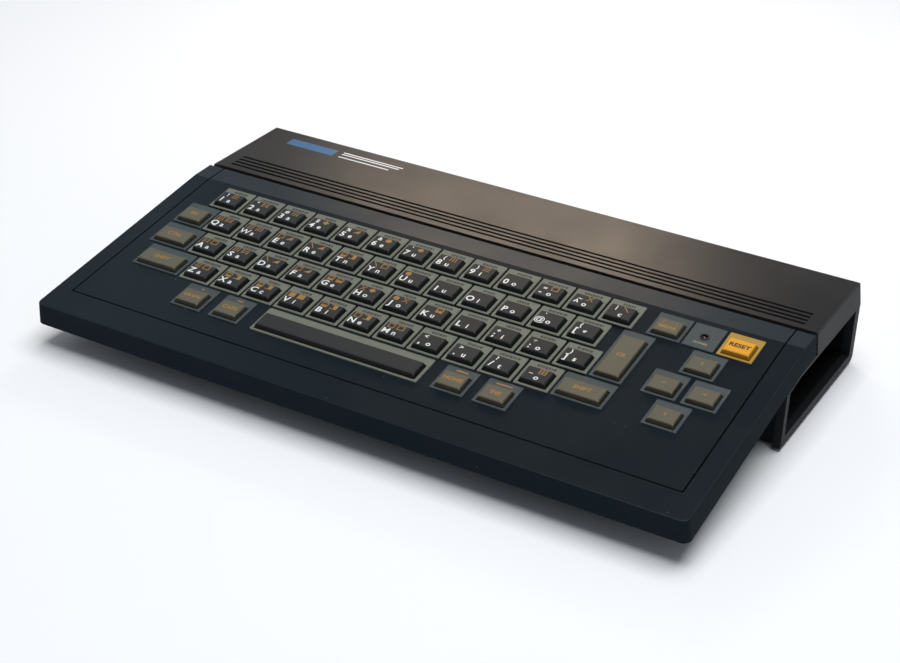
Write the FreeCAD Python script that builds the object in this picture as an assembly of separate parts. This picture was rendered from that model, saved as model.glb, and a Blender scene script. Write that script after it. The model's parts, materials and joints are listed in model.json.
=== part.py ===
"""Vintage home computer: sloping keyboard deck, raised rear housing and a cartridge bay on the right.

Sizes are millimetres. The origin is on the table under the middle of the footprint, X runs to the
right, Y to the back and Z up. Keyboard pieces are drawn in deck coordinates (x, v, n): v runs up the
slope from the bend of the deck and n stands off its surface.
"""
import math
import os

import FreeCAD
import Part

Vec = FreeCAD.Vector

# Overall size
WIDTH = 353.0
DEPTH = 210.0
HEIGHT = 46.0
FOOT_HEIGHT = 1.7
HALF_WIDTH = WIDTH / 2
FRONT_Y = -DEPTH / 2
REAR_Y = DEPTH / 2

# Side profile of the deck
DECK_ANGLE = 8.72
DECK_RUN = 131.65
BEND_DROP = 1.1
FACET_RUN = 13.55
FACET_RISE = 0.6
LIP_HEIGHT = 11.51
LIP_LEAN = 1.0
LIP_CORNER = 4.0
DECK_DRAFT = 6.1
TOP_EDGE = 0.7
SHELL_WALL = 2.5
SIDE_WALL = 3.6
PARTING_Z = 34.0
PARTING_LINE = 0.1
UNDER_STEP = 0.4
UNDER_BEND_SETBACK = 3.65
SEAM = 0.5
SLOPE = math.tan(math.radians(DECK_ANGLE))
SLOPE_COS = math.cos(math.radians(DECK_ANGLE))
FACET_SLOPE = FACET_RISE / FACET_RUN
FACET_COS = math.cos(math.atan(FACET_SLOPE))
BEND_Y = FRONT_Y + DECK_RUN
BEND_Z = HEIGHT - BEND_DROP
FACET_END_Y = BEND_Y + FACET_RUN
FACET_END_Z = BEND_Z + FACET_RISE
LIP_TOP_Z = BEND_Z - DECK_RUN * SLOPE
LIP_FOOT_Y = FRONT_Y + LIP_LEAN
LIP_FOOT_Z = LIP_TOP_Z - LIP_HEIGHT
UNDER_BEND_Y = BEND_Y - UNDER_BEND_SETBACK
UNDER_LEVEL_Z = PARTING_Z + UNDER_STEP
CASE_TOP_Z = PARTING_Z - PARTING_LINE

# Keyboard panel let into the deck
PANEL_SIDE_BORDER = 11.3
PANEL_FRONT_BORDER = 17.1
PANEL_THICKNESS = 2.0
PANEL_GROOVE = 0.8
LEDGE_WIDTH = 4.4
LEDGE_THICKNESS = 1.8
LEDGE_ROOT = 2.6
PANEL_HALF_WIDTH = HALF_WIDTH - PANEL_SIDE_BORDER
PANEL_FRONT_Y = FRONT_Y + PANEL_FRONT_BORDER

# Rear cover
CHANNEL = 3.5
CHANNEL_DEPTH = 4.7
COVER_FRONT_DROP = 0.7
COVER_REAR_INSET = 1.4
COVER_DRAFT = 6.5
COVER_EDGE = 1.4
TRAY_REACH = 10.7
TRAY_THICKNESS = 1.5
TRAY_SIDE_INSET = 4.5
VENT_COUNT = 4
VENT_PITCH = 3.6
VENT_SETBACK = 4.9
VENT_WIDTH = 1.7
VENT_END_MARGIN = 9.7
VENT_RIB_PITCH = 41.7
VENT_RIB_WIDTH = 2.4
VENT_RIB_DEPTH = 2.0
COVER_FRONT_Y = FACET_END_Y + CHANNEL
COVER_FRONT_Z = HEIGHT - COVER_FRONT_DROP
CHANNEL_FLOOR_Z = FACET_END_Z - CHANNEL_DEPTH
VENT_HALF_LENGTH = HALF_WIDTH - VENT_END_MARGIN
VENT_CENTRES = tuple(COVER_FRONT_Y + VENT_SETBACK + VENT_PITCH * index for index in range(VENT_COUNT))

# Bottom case: deep box at the back, keel under the slab, tray closing the slab
END_FRAME = 4.0
END_CORNER = 3.0
BOX_SETBACK = 18.65
BOX_REAR_RECESS = 2.4
POST_SETBACK = 3.2
FLOOR_THICKNESS = 2.2
SLAB_TRAY_RECESS = 0.4
SLAB_TRAY_THICKNESS = 1.5
SLAB_TRAY_SETBACK = 4.2
SLAB_TRAY_GAP = 0.5
KEEL_SIDE_INSET = 31.5
KEEL_SETBACK = 29.0
KEEL_RAKE = 8.0
FLOOR_VENT_COUNT = 10
FLOOR_VENT_PITCH = 11.0
FLOOR_VENT_START = -110.0
FLOOR_VENT = (4.0, 36.0)
FLOOR_VENT_SETBACK = 32.0
BOX_HALF_WIDTH = HALF_WIDTH - END_FRAME
BOX_FRONT_Y = BEND_Y - BOX_SETBACK
BOX_REAR_Y = REAR_Y - BOX_REAR_RECESS
WALL_INSIDE_Y = BOX_REAR_Y - SHELL_WALL
END_FRAME_FRONT_Y = BOX_FRONT_Y - POST_SETBACK
FLOOR_TOP_Z = FOOT_HEIGHT + FLOOR_THICKNESS
KEEL_HALF_WIDTH = HALF_WIDTH - KEEL_SIDE_INSET
KEEL_TOP_Y = FRONT_Y + KEEL_SETBACK
KEEL_FOOT_Y = KEEL_TOP_Y + KEEL_RAKE
SLAB_TRAY_FRONT_Y = FRONT_Y + SLAB_TRAY_SETBACK
FLOOR_VENT_XS = tuple(FLOOR_VENT_START + FLOOR_VENT_PITCH * index for index in range(FLOOR_VENT_COUNT))
FLOOR_VENT_Y = BOX_FRONT_Y + FLOOR_VENT_SETBACK

# Cartridge bay on the right
BAY_FRONT_POST = 4.2
BAY_REAR_POST = 6.1
BAY_BOTTOM_RAIL = 5.0
BAY_TOP_RAIL = 1.7
BAY_FRONT_RAIL = 1.46
LINER_WALL = 1.5
LINER_GAP = 0.1
LINER_FRONT_GAP = 0.6
LINER_REAR_GAP = 1.2
LINER_HEADROOM = 0.7
LINER_DEPTH = 58.0
SLOT_LENGTH = 58.0
SLOT_DEPTH = 10.4
SLOT_TOP_Z = 24.0
SLOT_MOUTH = (2.6, 6.5)
SLOT_WINDOW_GAP = 0.5
BAY_Y = (END_FRAME_FRONT_Y + BAY_FRONT_POST, REAR_Y - BAY_REAR_POST)
BAY_Z = (FOOT_HEIGHT + BAY_BOTTOM_RAIL, CASE_TOP_Z - BAY_TOP_RAIL)
BAY_TOP_BEND_Y = UNDER_BEND_Y - 1.0
LINER_Y = (
    BOX_FRONT_Y + SHELL_WALL + LINER_FRONT_GAP + LINER_WALL,
    WALL_INSIDE_Y - LINER_REAR_GAP - LINER_WALL,
)
LINER_Z = (BAY_Z[0], BAY_Z[1] - LINER_HEADROOM)
LINER_END_X = BOX_HALF_WIDTH - LINER_DEPTH
SLOT_MIDDLE_Y = sum(LINER_Y) / 2
SLOT_Y = (SLOT_MIDDLE_Y - SLOT_LENGTH / 2, SLOT_MIDDLE_Y + SLOT_LENGTH / 2)
SLOT_X = (LINER_END_X - LINER_GAP - SLOT_DEPTH, LINER_END_X - LINER_GAP)

# Key plates: rows are counted from the back
ROW_TOP_V = -3.8
ROW_PITCH = 20.22
PLATE_LENGTH = 18.6
KEY_PITCH = 19.05
PLATE_WIDTH = 17.9
PLATE_PROUD = 0.6
PLATE_EDGE = 0.25
PLATE_CORNER = 0.7
PLATE_GAP = 0.15
SHEET_GAP = 0.1
SHEET_THICKNESS = 1.0
SHEET_MARGIN = (1.7, 1.8, 3.7, 2.0)
SHEET_SPLIT = 0.35
SHEET_OVERHANG = 0.5
HOLE_SIDE = 1.55
HOLE_REAR = 5.5
HOLE_FRONT = 1.25
HOLE_CORNER = 0.5

# Key caps
CAP_RISE = 2.15
CAP_CLEARANCE = 0.4
CAP_WALL = 1.2
CAP_ROOF = 1.35
CAP_LEAN = 0.45
CAP_BEVEL = 0.4
CAP_STRAIGHT = 0.3
KEY_TRAVEL = 1.5
CARRIER_GAP = 0.2
CARRIER_THICKNESS = 0.8
CARRIER_RIM = 1.0
TRAVEL_SPARE = 0.2

# Rubber mat, contact board and their screws
MAT_THICKNESS = 0.6
MAT_GAP = 0.1
CONTACT_BOARD_THICKNESS = 1.2
DOME_FOOT_RADIUS = 3.4
DOME_TOP_RADIUS = 2.5
DOME_SPARE = 0.3
STACK_MARGIN = 0.5
KEYBOARD_SCREWS = (
    (-155.0, -12.0),
    (100.0, -13.0),
    (115.5, -44.0),
    (-148.0, -95.0),
    (-71.0, -94.0),
    (29.8, -94.0),
    (115.0, -94.0),
    (150.0, -94.0),
)
SCREW_BOSS_RADIUS = 2.4
SCREW_RADIUS = 1.0
SCREW_HEAD = (2.2, 1.0)
SCREW_PLAY = 0.1
SCREW_TIP_COVER = 0.6

# Depths under the deck surface
SHEET_TOP_N = -PANEL_THICKNESS - SHEET_GAP
SHEET_FOOT_N = SHEET_TOP_N - SHEET_THICKNESS
CARRIER_TOP_N = SHEET_FOOT_N - CARRIER_GAP
CARRIER_FOOT_N = CARRIER_TOP_N - CARRIER_THICKNESS
MAT_TOP_N = CARRIER_FOOT_N - KEY_TRAVEL - TRAVEL_SPARE
MAT_FOOT_N = MAT_TOP_N - MAT_THICKNESS
CONTACT_TOP_N = MAT_FOOT_N - MAT_GAP
CONTACT_FOOT_N = CONTACT_TOP_N - CONTACT_BOARD_THICKNESS
CAP_TOP_N = PLATE_PROUD + CAP_RISE
CAVITY_TOP_N = CAP_TOP_N - CAP_ROOF
DOME_TOP_N = CAVITY_TOP_N - KEY_TRAVEL - DOME_SPARE
SCREW_TIP_N = -PANEL_THICKNESS - SCREW_TIP_COVER

# Power lamp
LAMP_PLATE_X = (122.4, 138.4)
LAMP_CENTRE = (130.4, -13.1)
LAMP_RADIUS = 1.5
LAMP_TOP_N = 0.7
LAMP_FOOT = (1.9, 1.0)
LAMP_RING_RADIUS = 2.5
LAMP_RING_WALL = 0.85
LAMP_RING_TOP_N = 0.9

# Main board and what stands on it
BOARD_STANDOFF = 5.1
BOARD_THICKNESS = 1.6
BOARD_LEFT_GAP = 20.5
BOARD_LINER_GAP = 1.0
BOARD_FRONT_GAP = 4.0
BOARD_REAR_GAP = 2.1
TONGUE_LEFT_GAP = 7.0
TONGUE_RIGHT_GAP = 45.0
TONGUE_FRONT_GAP = 23.0
BOARD_POST_RADIUS = 3.2
BOARD_SCREW = (2.8, 1.6, 1.3, 5.5)
SOLDER_GAP = 0.1
CHIP_BODY = (52.0, 13.6, 3.8)
CHIP_XS = (-80.0, -15.0, 50.0)
CHIP_ROW_SETBACK = 30.0
MEMORY_BODY = (19.6, 7.0, 3.4)
MEMORY_COUNT = 8
MEMORY_PITCH = 16.0
MEMORY_START_X = -52.0
MEMORY_ROW_SETBACK = 40.0
CHIP_LEG_DROP = 0.9
CHIP_LEG_WIDTH = 0.5
CHIP_LEG_PITCH = 2.54
BOARD_Z = FLOOR_TOP_Z + BOARD_STANDOFF
BOARD_TOP_Z = BOARD_Z + BOARD_THICKNESS
PART_BASE_Z = BOARD_TOP_Z + SOLDER_GAP
BOARD_X = (-BOX_HALF_WIDTH + BOARD_LEFT_GAP, LINER_END_X - LINER_WALL - BOARD_LINER_GAP)
BOARD_Y = (BOX_FRONT_Y + BOARD_FRONT_GAP, WALL_INSIDE_Y - BOARD_REAR_GAP)
BOARD_FRONT_X = (-KEEL_HALF_WIDTH + TONGUE_LEFT_GAP, KEEL_HALF_WIDTH - TONGUE_RIGHT_GAP)
BOARD_FRONT_Y = KEEL_FOOT_Y + TONGUE_FRONT_GAP
BOARD_POSTS = (
    (BOARD_FRONT_X[0] + 8.0, BOARD_FRONT_Y + 7.0),
    (BOARD_FRONT_X[1] - 8.0, BOARD_FRONT_Y + 7.0),
    (-20.0, BOARD_Y[0] + 8.0),
    (BOARD_X[0] + 6.0, BOARD_Y[0] + 28.0),
    (BOARD_X[1] - 16.0, BOARD_Y[1] - 8.0),
)
CHIP_CENTRES = tuple((x, BOARD_FRONT_Y + CHIP_ROW_SETBACK) for x in CHIP_XS)
MEMORY_ROW_Y = BOARD_Y[0] + MEMORY_ROW_SETBACK
MEMORY_XS = tuple(MEMORY_START_X + MEMORY_PITCH * index for index in range(MEMORY_COUNT))

# Sockets on the back
SOCKET_RISE = 8.4
SOCKET_RECESS = 0.2
SOCKET_BODY_DEPTH = 10.1
SOCKET_PLAY = 0.4
JOYSTICK_XS = (36.0, 76.0)
JOYSTICK_SHELL = (17.6, 9.2)
JOYSTICK_FLANGE = (30.8, 12.4)
JOYSTICK_PIN_RADIUS = 0.5
DIN_XS = (-58.0, -4.0)
DIN_RADIUS = 7.4
DIN_PIN_CIRCLE = 4.6
CASSETTE_XS = (-36.0, -24.0)
CASSETTE_RADIUS = 3.6
CASSETTE_BORE = 1.8
MODULATOR_X = (-104.0, -70.0)
MODULATOR_LENGTH = 39.4
MODULATOR_WALL_GAP = 0.7
MODULATOR_HEIGHT = 19.3
AERIAL_RADIUS = 4.2
POWER_JACK_X = -118.0
POWER_JACK_BODY = (10.0, 11.5)
POWER_JACK_RADIUS = 4.4
POWER_JACK_BORE = 3.0
SWITCH_X = -139.0
SWITCH_BODY = (20.0, 12.0)
SWITCH_TRAVEL = 4.0
LEVER_SIZE = (4.0, 4.0)
LEVER_PLAY = 0.35
SOCKET_Z = BOARD_TOP_Z + SOCKET_RISE
SOCKET_END_Y = REAR_Y - SOCKET_RECESS
SOCKET_BODY_Y = WALL_INSIDE_Y - SOCKET_BODY_DEPTH
SOCKET_WALL_Y = WALL_INSIDE_Y - SCREW_PLAY
MODULATOR_Y = (
    WALL_INSIDE_Y - MODULATOR_WALL_GAP - MODULATOR_LENGTH,
    WALL_INSIDE_Y - MODULATOR_WALL_GAP,
)
MODULATOR_TOP_Z = PART_BASE_Z + MODULATOR_HEIGHT

# Rest of the electronics
REGULATOR_X = -126.0
REGULATOR_SIZE = (10.2, 4.5, 15.0)
HEAT_SINK_SIZE = (34.0, 2.0, 20.0)
HEAT_SINK_SETBACK = 26.1
HEAT_SINK_FIN = (1.2, 6.0)
HEAT_SINK_FIN_COUNT = 7
CAPACITOR_RADIUS = 5.0
CAPACITOR_HEIGHT = 18.0
CAPACITOR_PLACES = ((-136.0, 44.1), (-123.0, 44.1), (-110.0, 52.1))
HEAT_SINK_Y = WALL_INSIDE_Y - HEAT_SINK_SETBACK
CAPACITOR_CENTRES = tuple((x, WALL_INSIDE_Y - setback) for x, setback in CAPACITOR_PLACES)
RIBBON_X = (-30.0, 12.0)
RIBBON_THICKNESS = 0.5
RIBBON_GAP = 0.4
RIBBON_SOCKET_WALL = 1.5
RIBBON_SOCKET_HEIGHT = 5.4
RIBBON_SOCKET_TOP_Z = BOARD_TOP_Z + RIBBON_SOCKET_HEIGHT

# Feet and case screws
FOOT_RADIUS = 7.0
FOOT_KEEL_INSET = (20.0, 12.0)
FOOT_BOX_INSET = (22.5, 24.6)
CASE_SCREW_HEAD = (3.0, 1.6)
CASE_SCREW_SHAFT = (1.4, 6.6)
CASE_SCREW_PLAY = 0.1
CASE_SCREW_TIP_SPARE = 0.5
DECK_SCREW_XS = (-150.0, -50.0, 50.0, 150.0)
DECK_SCREW_SETBACK = 9.5
DECK_SCREW_SEAT = 2.1
DECK_BOSS_RADIUS = 3.2
TRAY_BOSS = (4.8, 3.6)
COVER_SCREW_SEAT_DROP = 3.0
COVER_POST_RADIUS = 4.4
COVER_BOSS_RADIUS = 3.6
COVER_POST_INSET = 12.5
COVER_POST_SETBACK = (11.0, 49.0)
COVER_POST_LINER_GAP = 6.0
KEEL_FOOT_X = KEEL_HALF_WIDTH - FOOT_KEEL_INSET[0]
BOX_FOOT_X = BOX_HALF_WIDTH - FOOT_BOX_INSET[0]
FEET = (
    (-KEEL_FOOT_X, KEEL_FOOT_Y + FOOT_KEEL_INSET[1]),
    (KEEL_FOOT_X, KEEL_FOOT_Y + FOOT_KEEL_INSET[1]),
    (-BOX_FOOT_X, BOX_REAR_Y - FOOT_BOX_INSET[1]),
    (BOX_FOOT_X, BOX_REAR_Y - FOOT_BOX_INSET[1]),
)
DECK_SCREWS = tuple((x, FRONT_Y + DECK_SCREW_SETBACK) for x in DECK_SCREW_XS)
COVER_SCREWS = (
    (-BOX_HALF_WIDTH + COVER_POST_INSET, REAR_Y - COVER_POST_SETBACK[0]),
    (-BOX_HALF_WIDTH + COVER_POST_INSET, REAR_Y - COVER_POST_SETBACK[1]),
    (LINER_END_X - LINER_WALL - COVER_POST_LINER_GAP, REAR_Y - COVER_POST_SETBACK[0]),
)
COVER_SCREW_SEAT_Z = PARTING_Z - COVER_SCREW_SEAT_DROP

# Plates as (row, left edge, right edge); the return plate covers two rows
CONTROL_PLATES = {
    "key_function": (1, -158.7, -140.6),
    "key_control": (2, -158.7, -135.5),
    "key_shift_left": (3, -154.1, -126.1),
    "key_shift_right": (3, 84.8, 110.8),
    "key_graphics": (4, -115.0, -97.2),
    "key_alphabet": (4, -92.2, -74.8),
    "key_home": (4, 33.2, 50.5),
    "key_insert": (4, 55.4, 72.9),
    "key_return": (1, 94.3, 110.8),
    "key_break": (0, 104.0, 121.4),
    "key_up": (1, 130.0, 147.3),
    "key_left": (2, 120.2, 137.6),
    "key_right": (2, 139.9, 157.3),
    "key_down": (3, 130.0, 147.3),
}
SPACE_PLATE = (4, -67.3, 26.3)
RESET_PLATE = (0, 139.9, 157.6)

# Character rows as (row, left edge of the first plate, sizes of the key banks, their names)
BANK_PLACES = ("left", "middle", "right")
CHARACTER_ROWS = (
    ("number", 0, -149.8, (4, 4, 5)),
    ("upper", 1, -139.6, (4, 4, 4)),
    ("middle", 2, -134.3, (4, 4, 4)),
    ("lower", 3, -124.7, (4, 4, 3)),
)


def box(x0, x1, y0, y1, z0, z1):
    """Axis-aligned box between two corners."""
    return Part.makeBox(x1 - x0, y1 - y0, z1 - z0, Vec(x0, y0, z0))


def post(x, y, z0, z1, radius):
    """Upright cylinder."""
    return Part.makeCylinder(radius, z1 - z0, Vec(x, y, z0))


def rod_y(x, z, y0, y1, radius):
    """Cylinder lying along Y."""
    return Part.makeCylinder(radius, y1 - y0, Vec(x, y0, z), Vec(0, 1, 0))


def prism(profile, x0, x1):
    """Solid with a side profile of (y, z) points, running from x0 to x1."""
    points = [Vec(x0, y, z) for y, z in profile]
    face = Part.Face(Part.makePolygon(points + points[:1]))
    return face.extrude(Vec(x1 - x0, 0, 0))


def cut_all(shape, tools):
    """Shape with every tool taken away."""
    return shape.cut(Part.makeCompound(tools)) if tools else shape


def fuse_all(shapes):
    """One shape from several that touch or overlap."""
    fused = shapes[0].multiFuse(shapes[1:]) if len(shapes) > 1 else shapes[0]
    return fused.removeSplitter()


def on_deck(shape):
    """Move a shape from deck coordinates to its place on the sloping deck."""
    placed = shape.copy()
    placed.rotate(Vec(0, 0, 0), Vec(1, 0, 0), DECK_ANGLE)
    placed.translate(Vec(0, BEND_Y, BEND_Z))
    return placed


def rounded_wire(rect, n, radius):
    """Closed rectangle (x0, x1, v0, v1) with rounded corners at height n."""
    x0, x1, v0, v1 = rect
    diagonal = radius * (1 - math.sqrt(0.5))
    edges = []
    corners = (
        ((x1 - radius, v0), (x1 - diagonal, v0 + diagonal), (x1, v0 + radius)),
        ((x1, v1 - radius), (x1 - diagonal, v1 - diagonal), (x1 - radius, v1)),
        ((x0 + radius, v1), (x0 + diagonal, v1 - diagonal), (x0, v1 - radius)),
        ((x0, v0 + radius), (x0 + diagonal, v0 + diagonal), (x0 + radius, v0)),
    )
    for index, corner in enumerate(corners):
        start, middle, end = (Vec(x, v, n) for x, v in corner)
        edges.append(Part.Arc(start, middle, end).toShape())
        following = corners[(index + 1) % 4][0]
        edges.append(Part.makeLine(end, Vec(following[0], following[1], n)))
    return Part.Wire(edges)


def rounded_block(rect, n0, n1, radius):
    """Upright block on a rounded rectangle."""
    return Part.Face(rounded_wire(rect, n0, radius)).extrude(Vec(0, 0, n1 - n0))


def grow(rect, amount):
    """Rectangle (x0, x1, v0, v1) made larger on every side."""
    x0, x1, v0, v1 = rect
    return (x0 - amount, x1 + amount, v0 - amount, v1 + amount)


def flat_block(rect, n0, n1):
    """Block with square corners on a rectangle."""
    x0, x1, v0, v1 = rect
    return box(x0, x1, v0, v1, n0, n1)


def deck_z(y, n=0.0):
    """Height of the surface that runs n above the deck, facet included."""
    sloped = BEND_Z + (y - BEND_Y) * SLOPE + n / SLOPE_COS
    facet = BEND_Z + (y - BEND_Y) * FACET_SLOPE + n / FACET_COS
    return min(sloped, facet)


def bend_y(n):
    """Y where the surface n above the deck bends into the facet."""
    return BEND_Y + n * (1 / FACET_COS - 1 / SLOPE_COS) / (SLOPE - FACET_SLOPE)


def under_z(y):
    """Height of the lower edge of the slab."""
    slope = (UNDER_LEVEL_Z - LIP_FOOT_Z) / (UNDER_BEND_Y - LIP_FOOT_Y)
    return min(LIP_FOOT_Z + (y - LIP_FOOT_Y) * slope, UNDER_LEVEL_Z)


def bent_slab(x0, x1, y0, y1, n_top, n_foot):
    """Plate that follows the deck and its facet between two depths."""
    upper = [(y0, deck_z(y0, n_top)), (bend_y(n_top), deck_z(bend_y(n_top), n_top)), (y1, deck_z(y1, n_top))]
    bend = bend_y(n_foot)
    lower = [(y1, deck_z(y1, n_foot)), (bend, deck_z(bend, n_foot)), (y0, deck_z(y0, n_foot))]
    return prism(upper + lower, x0, x1)


def draft_sides(shape, angle, tilt, pivot_y, pivot_z):
    """Lean both side walls inwards above a line through the pivot that rises at the tilt."""
    reach = WIDTH / 4
    for side in (1, -1):
        slab = Part.makeBox(reach, 3 * DEPTH, 6 * HEIGHT, Vec(0, -1.5 * DEPTH, -2 * HEIGHT))
        if side < 0:
            slab.translate(Vec(-reach, 0, 0))
        slab.rotate(Vec(0, 0, 0), Vec(0, 1, 0), -side * angle)
        slab.rotate(Vec(0, 0, 0), Vec(1, 0, 0), tilt)
        slab.translate(Vec(side * HALF_WIDTH, pivot_y, pivot_z))
        shape = shape.cut(slab)
    return shape


def row_rect(row, x0, x1, rows=1):
    """Plate rectangle of one key, over one or more rows."""
    top = ROW_TOP_V - ROW_PITCH * row
    return (x0, x1, top - PLATE_LENGTH - ROW_PITCH * (rows - 1), top)


def control_rects():
    """Plate rectangle of every blue-grey key."""
    rects = {}
    for name, (row, x0, x1) in CONTROL_PLATES.items():
        rects[name] = row_rect(row, x0, x1, 2 if name == "key_return" else 1)
    return rects


def character_banks():
    """Plate rectangles of the character keys, bank by bank."""
    banks = {}
    for label, row, left, sizes in CHARACTER_ROWS:
        column = 0
        for place, size in zip(BANK_PLACES, sizes):
            rects = []
            for index in range(column, column + size):
                x0 = left + KEY_PITCH * index
                rects.append(row_rect(row, x0, x0 + PLATE_WIDTH))
            banks["keys_%s_%s" % (label, place)] = rects
            column += size
    return banks


def hole_rect(plate):
    """Opening for the cap inside a plate."""
    x0, x1, v0, v1 = plate
    return (x0 + HOLE_SIDE, x1 - HOLE_SIDE, v0 + HOLE_FRONT, v1 - HOLE_REAR)


def sheet_rect(margin=0.0):
    """Outline of the sheets under the panel, less a margin."""
    plates = all_plates()
    left, right, front, rear = SHEET_MARGIN
    return (
        min(plate[0] for plate in plates) - left + margin,
        max(plate[1] for plate in plates) + right - margin,
        min(plate[2] for plate in plates) - front + margin,
        max(plate[3] for plate in plates) + rear - margin,
    )


def all_plates():
    """Every plate rectangle, the lamp plate included."""
    plates = [rect for rects in character_banks().values() for rect in rects]
    plates += list(control_rects().values())
    plates += [row_rect(*SPACE_PLATE), row_rect(*RESET_PLATE), row_rect(0, *LAMP_PLATE_X)]
    return plates


def character_sheet_rects():
    """Outline of the light sheet: one strip for each row and one for the space bar."""
    reach = (ROW_PITCH - PLATE_LENGTH) / 2
    strips = []
    for _label, row, left, sizes in CHARACTER_ROWS:
        right = left + KEY_PITCH * (sum(sizes) - 1) + PLATE_WIDTH
        x0, x1, v0, v1 = row_rect(row, left, right)
        strips.append((x0 - SHEET_OVERHANG, x1 + SHEET_OVERHANG, v0 - reach - 0.05, v1 + reach + 0.05))
    x0, x1, v0, v1 = row_rect(*SPACE_PLATE)
    strips.append((x0 - SHEET_OVERHANG, x1 + SHEET_OVERHANG, v0 - SHEET_OVERHANG, v1 + reach + 0.05))
    return strips


def pad(plate):
    """Raised plate with softened top edges, reaching down to its sheet."""
    wires = [
        rounded_wire(plate, SHEET_TOP_N - 0.05, PLATE_CORNER),
        rounded_wire(plate, PLATE_PROUD - PLATE_EDGE, PLATE_CORNER),
        rounded_wire(grow(plate, -PLATE_EDGE), PLATE_PROUD, PLATE_CORNER - PLATE_EDGE / 2),
    ]
    return Part.makeLoft(wires, True, True)


def surround(sheet, plates, blanks=()):
    """Sheet with its raised plates, their key openings and the holes for the panel bosses."""
    body = fuse_all([sheet] + [pad(plate) for plate in plates])
    tools = []
    for plate in plates:
        if plate not in blanks:
            tools.append(rounded_block(hole_rect(plate), SHEET_FOOT_N - 1, PLATE_PROUD + 1, HOLE_CORNER))
    for x, v in KEYBOARD_SCREWS:
        tools.append(post(x, v, SHEET_FOOT_N - 1, SHEET_TOP_N + 1, SCREW_BOSS_RADIUS + 3 * SCREW_PLAY))
    return cut_all(body, tools)


def make_surround_characters():
    """Light plates around the character keys and the space bar."""
    plates = [rect for rects in character_banks().values() for rect in rects]
    plates.append(row_rect(*SPACE_PLATE))
    sheet = fuse_all([flat_block(rect, SHEET_FOOT_N, SHEET_TOP_N) for rect in character_sheet_rects()])
    return on_deck(surround(sheet, plates))


def make_surround_reset():
    """Yellow plate around the reset key."""
    plate = row_rect(*RESET_PLATE)
    sheet = flat_block(grow(plate, SHEET_OVERHANG), SHEET_FOOT_N, SHEET_TOP_N)
    return on_deck(surround(sheet, [plate]))


def make_surround_controls():
    """Blue-grey plates around the other keys, with the plate of the power lamp."""
    lamp_plate = row_rect(0, *LAMP_PLATE_X)
    sheet = flat_block(sheet_rect(), SHEET_FOOT_N, SHEET_TOP_N)
    others = [grow(rect, SHEET_SPLIT) for rect in character_sheet_rects()]
    others.append(grow(row_rect(*RESET_PLATE), SHEET_OVERHANG + SHEET_SPLIT))
    sheet = cut_all(sheet, [flat_block(rect, SHEET_FOOT_N - 1, SHEET_TOP_N + 1) for rect in others])
    body = surround(sheet, list(control_rects().values()) + [lamp_plate], (lamp_plate,))
    x, v = LAMP_CENTRE
    return on_deck(body.cut(post(x, v, SHEET_FOOT_N - 1, PLATE_PROUD + 1, LAMP_RING_RADIUS + SCREW_PLAY)))


def make_panel():
    """Bent panel of the deck with a window for every plate and bosses for the keyboard screws."""
    plate = bent_slab(
        -PANEL_HALF_WIDTH, PANEL_HALF_WIDTH, PANEL_FRONT_Y, FACET_END_Y, 0.0, -PANEL_THICKNESS
    )
    windows = []
    for rect in all_plates():
        opening = grow(rect, PLATE_GAP)
        windows.append(on_deck(rounded_block(opening, -PANEL_THICKNESS - 1, 1, PLATE_CORNER + PLATE_GAP)))
    bosses = []
    pilots = []
    for x, v in KEYBOARD_SCREWS:
        bosses.append(on_deck(post(x, v, MAT_TOP_N + SCREW_PLAY, -PANEL_THICKNESS + 0.2, SCREW_BOSS_RADIUS)))
        pilots.append(on_deck(post(x, v, MAT_TOP_N - 1, SCREW_TIP_N + 0.2, SCREW_RADIUS + SCREW_PLAY / 2)))
    return cut_all(fuse_all([plate] + bosses), windows + pilots)


def cap(plate):
    """Hollow key cap with leaning sides and a bevelled top."""
    foot = grow(hole_rect(plate), -CAP_CLEARANCE)
    shoulder_n = PLATE_PROUD + CAP_STRAIGHT
    wires = [
        rounded_wire(foot, CARRIER_TOP_N - 0.05, HOLE_CORNER),
        rounded_wire(foot, shoulder_n, HOLE_CORNER),
        rounded_wire(grow(foot, -CAP_LEAN), CAP_TOP_N - CAP_BEVEL, HOLE_CORNER),
        rounded_wire(grow(foot, -CAP_LEAN - CAP_BEVEL), CAP_TOP_N, HOLE_CORNER),
    ]
    return Part.makeLoft(wires, True, True)


def make_keys(plates):
    """Caps of one bank on their shared carrier, hollow from below."""
    feet = [grow(hole_rect(plate), CARRIER_RIM - CAP_CLEARANCE) for plate in plates]
    carrier = (
        min(rect[0] for rect in feet),
        max(rect[1] for rect in feet),
        min(rect[2] for rect in feet),
        max(rect[3] for rect in feet),
    )
    body = fuse_all([flat_block(carrier, CARRIER_FOOT_N, CARRIER_TOP_N)] + [cap(plate) for plate in plates])
    hollows = []
    for plate in plates:
        inner = grow(hole_rect(plate), -CAP_CLEARANCE - CAP_WALL)
        hollows.append(flat_block(inner, CARRIER_FOOT_N - 1, CAVITY_TOP_N))
    return on_deck(cut_all(body, hollows))


def dome_centres():
    """Middle of every key, where a rubber dome stands."""
    centres = []
    for plate in all_plates():
        if plate == row_rect(0, *LAMP_PLATE_X):
            continue
        x0, x1, v0, v1 = hole_rect(plate)
        centres.append(((x0 + x1) / 2, (v0 + v1) / 2))
    return centres


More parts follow.
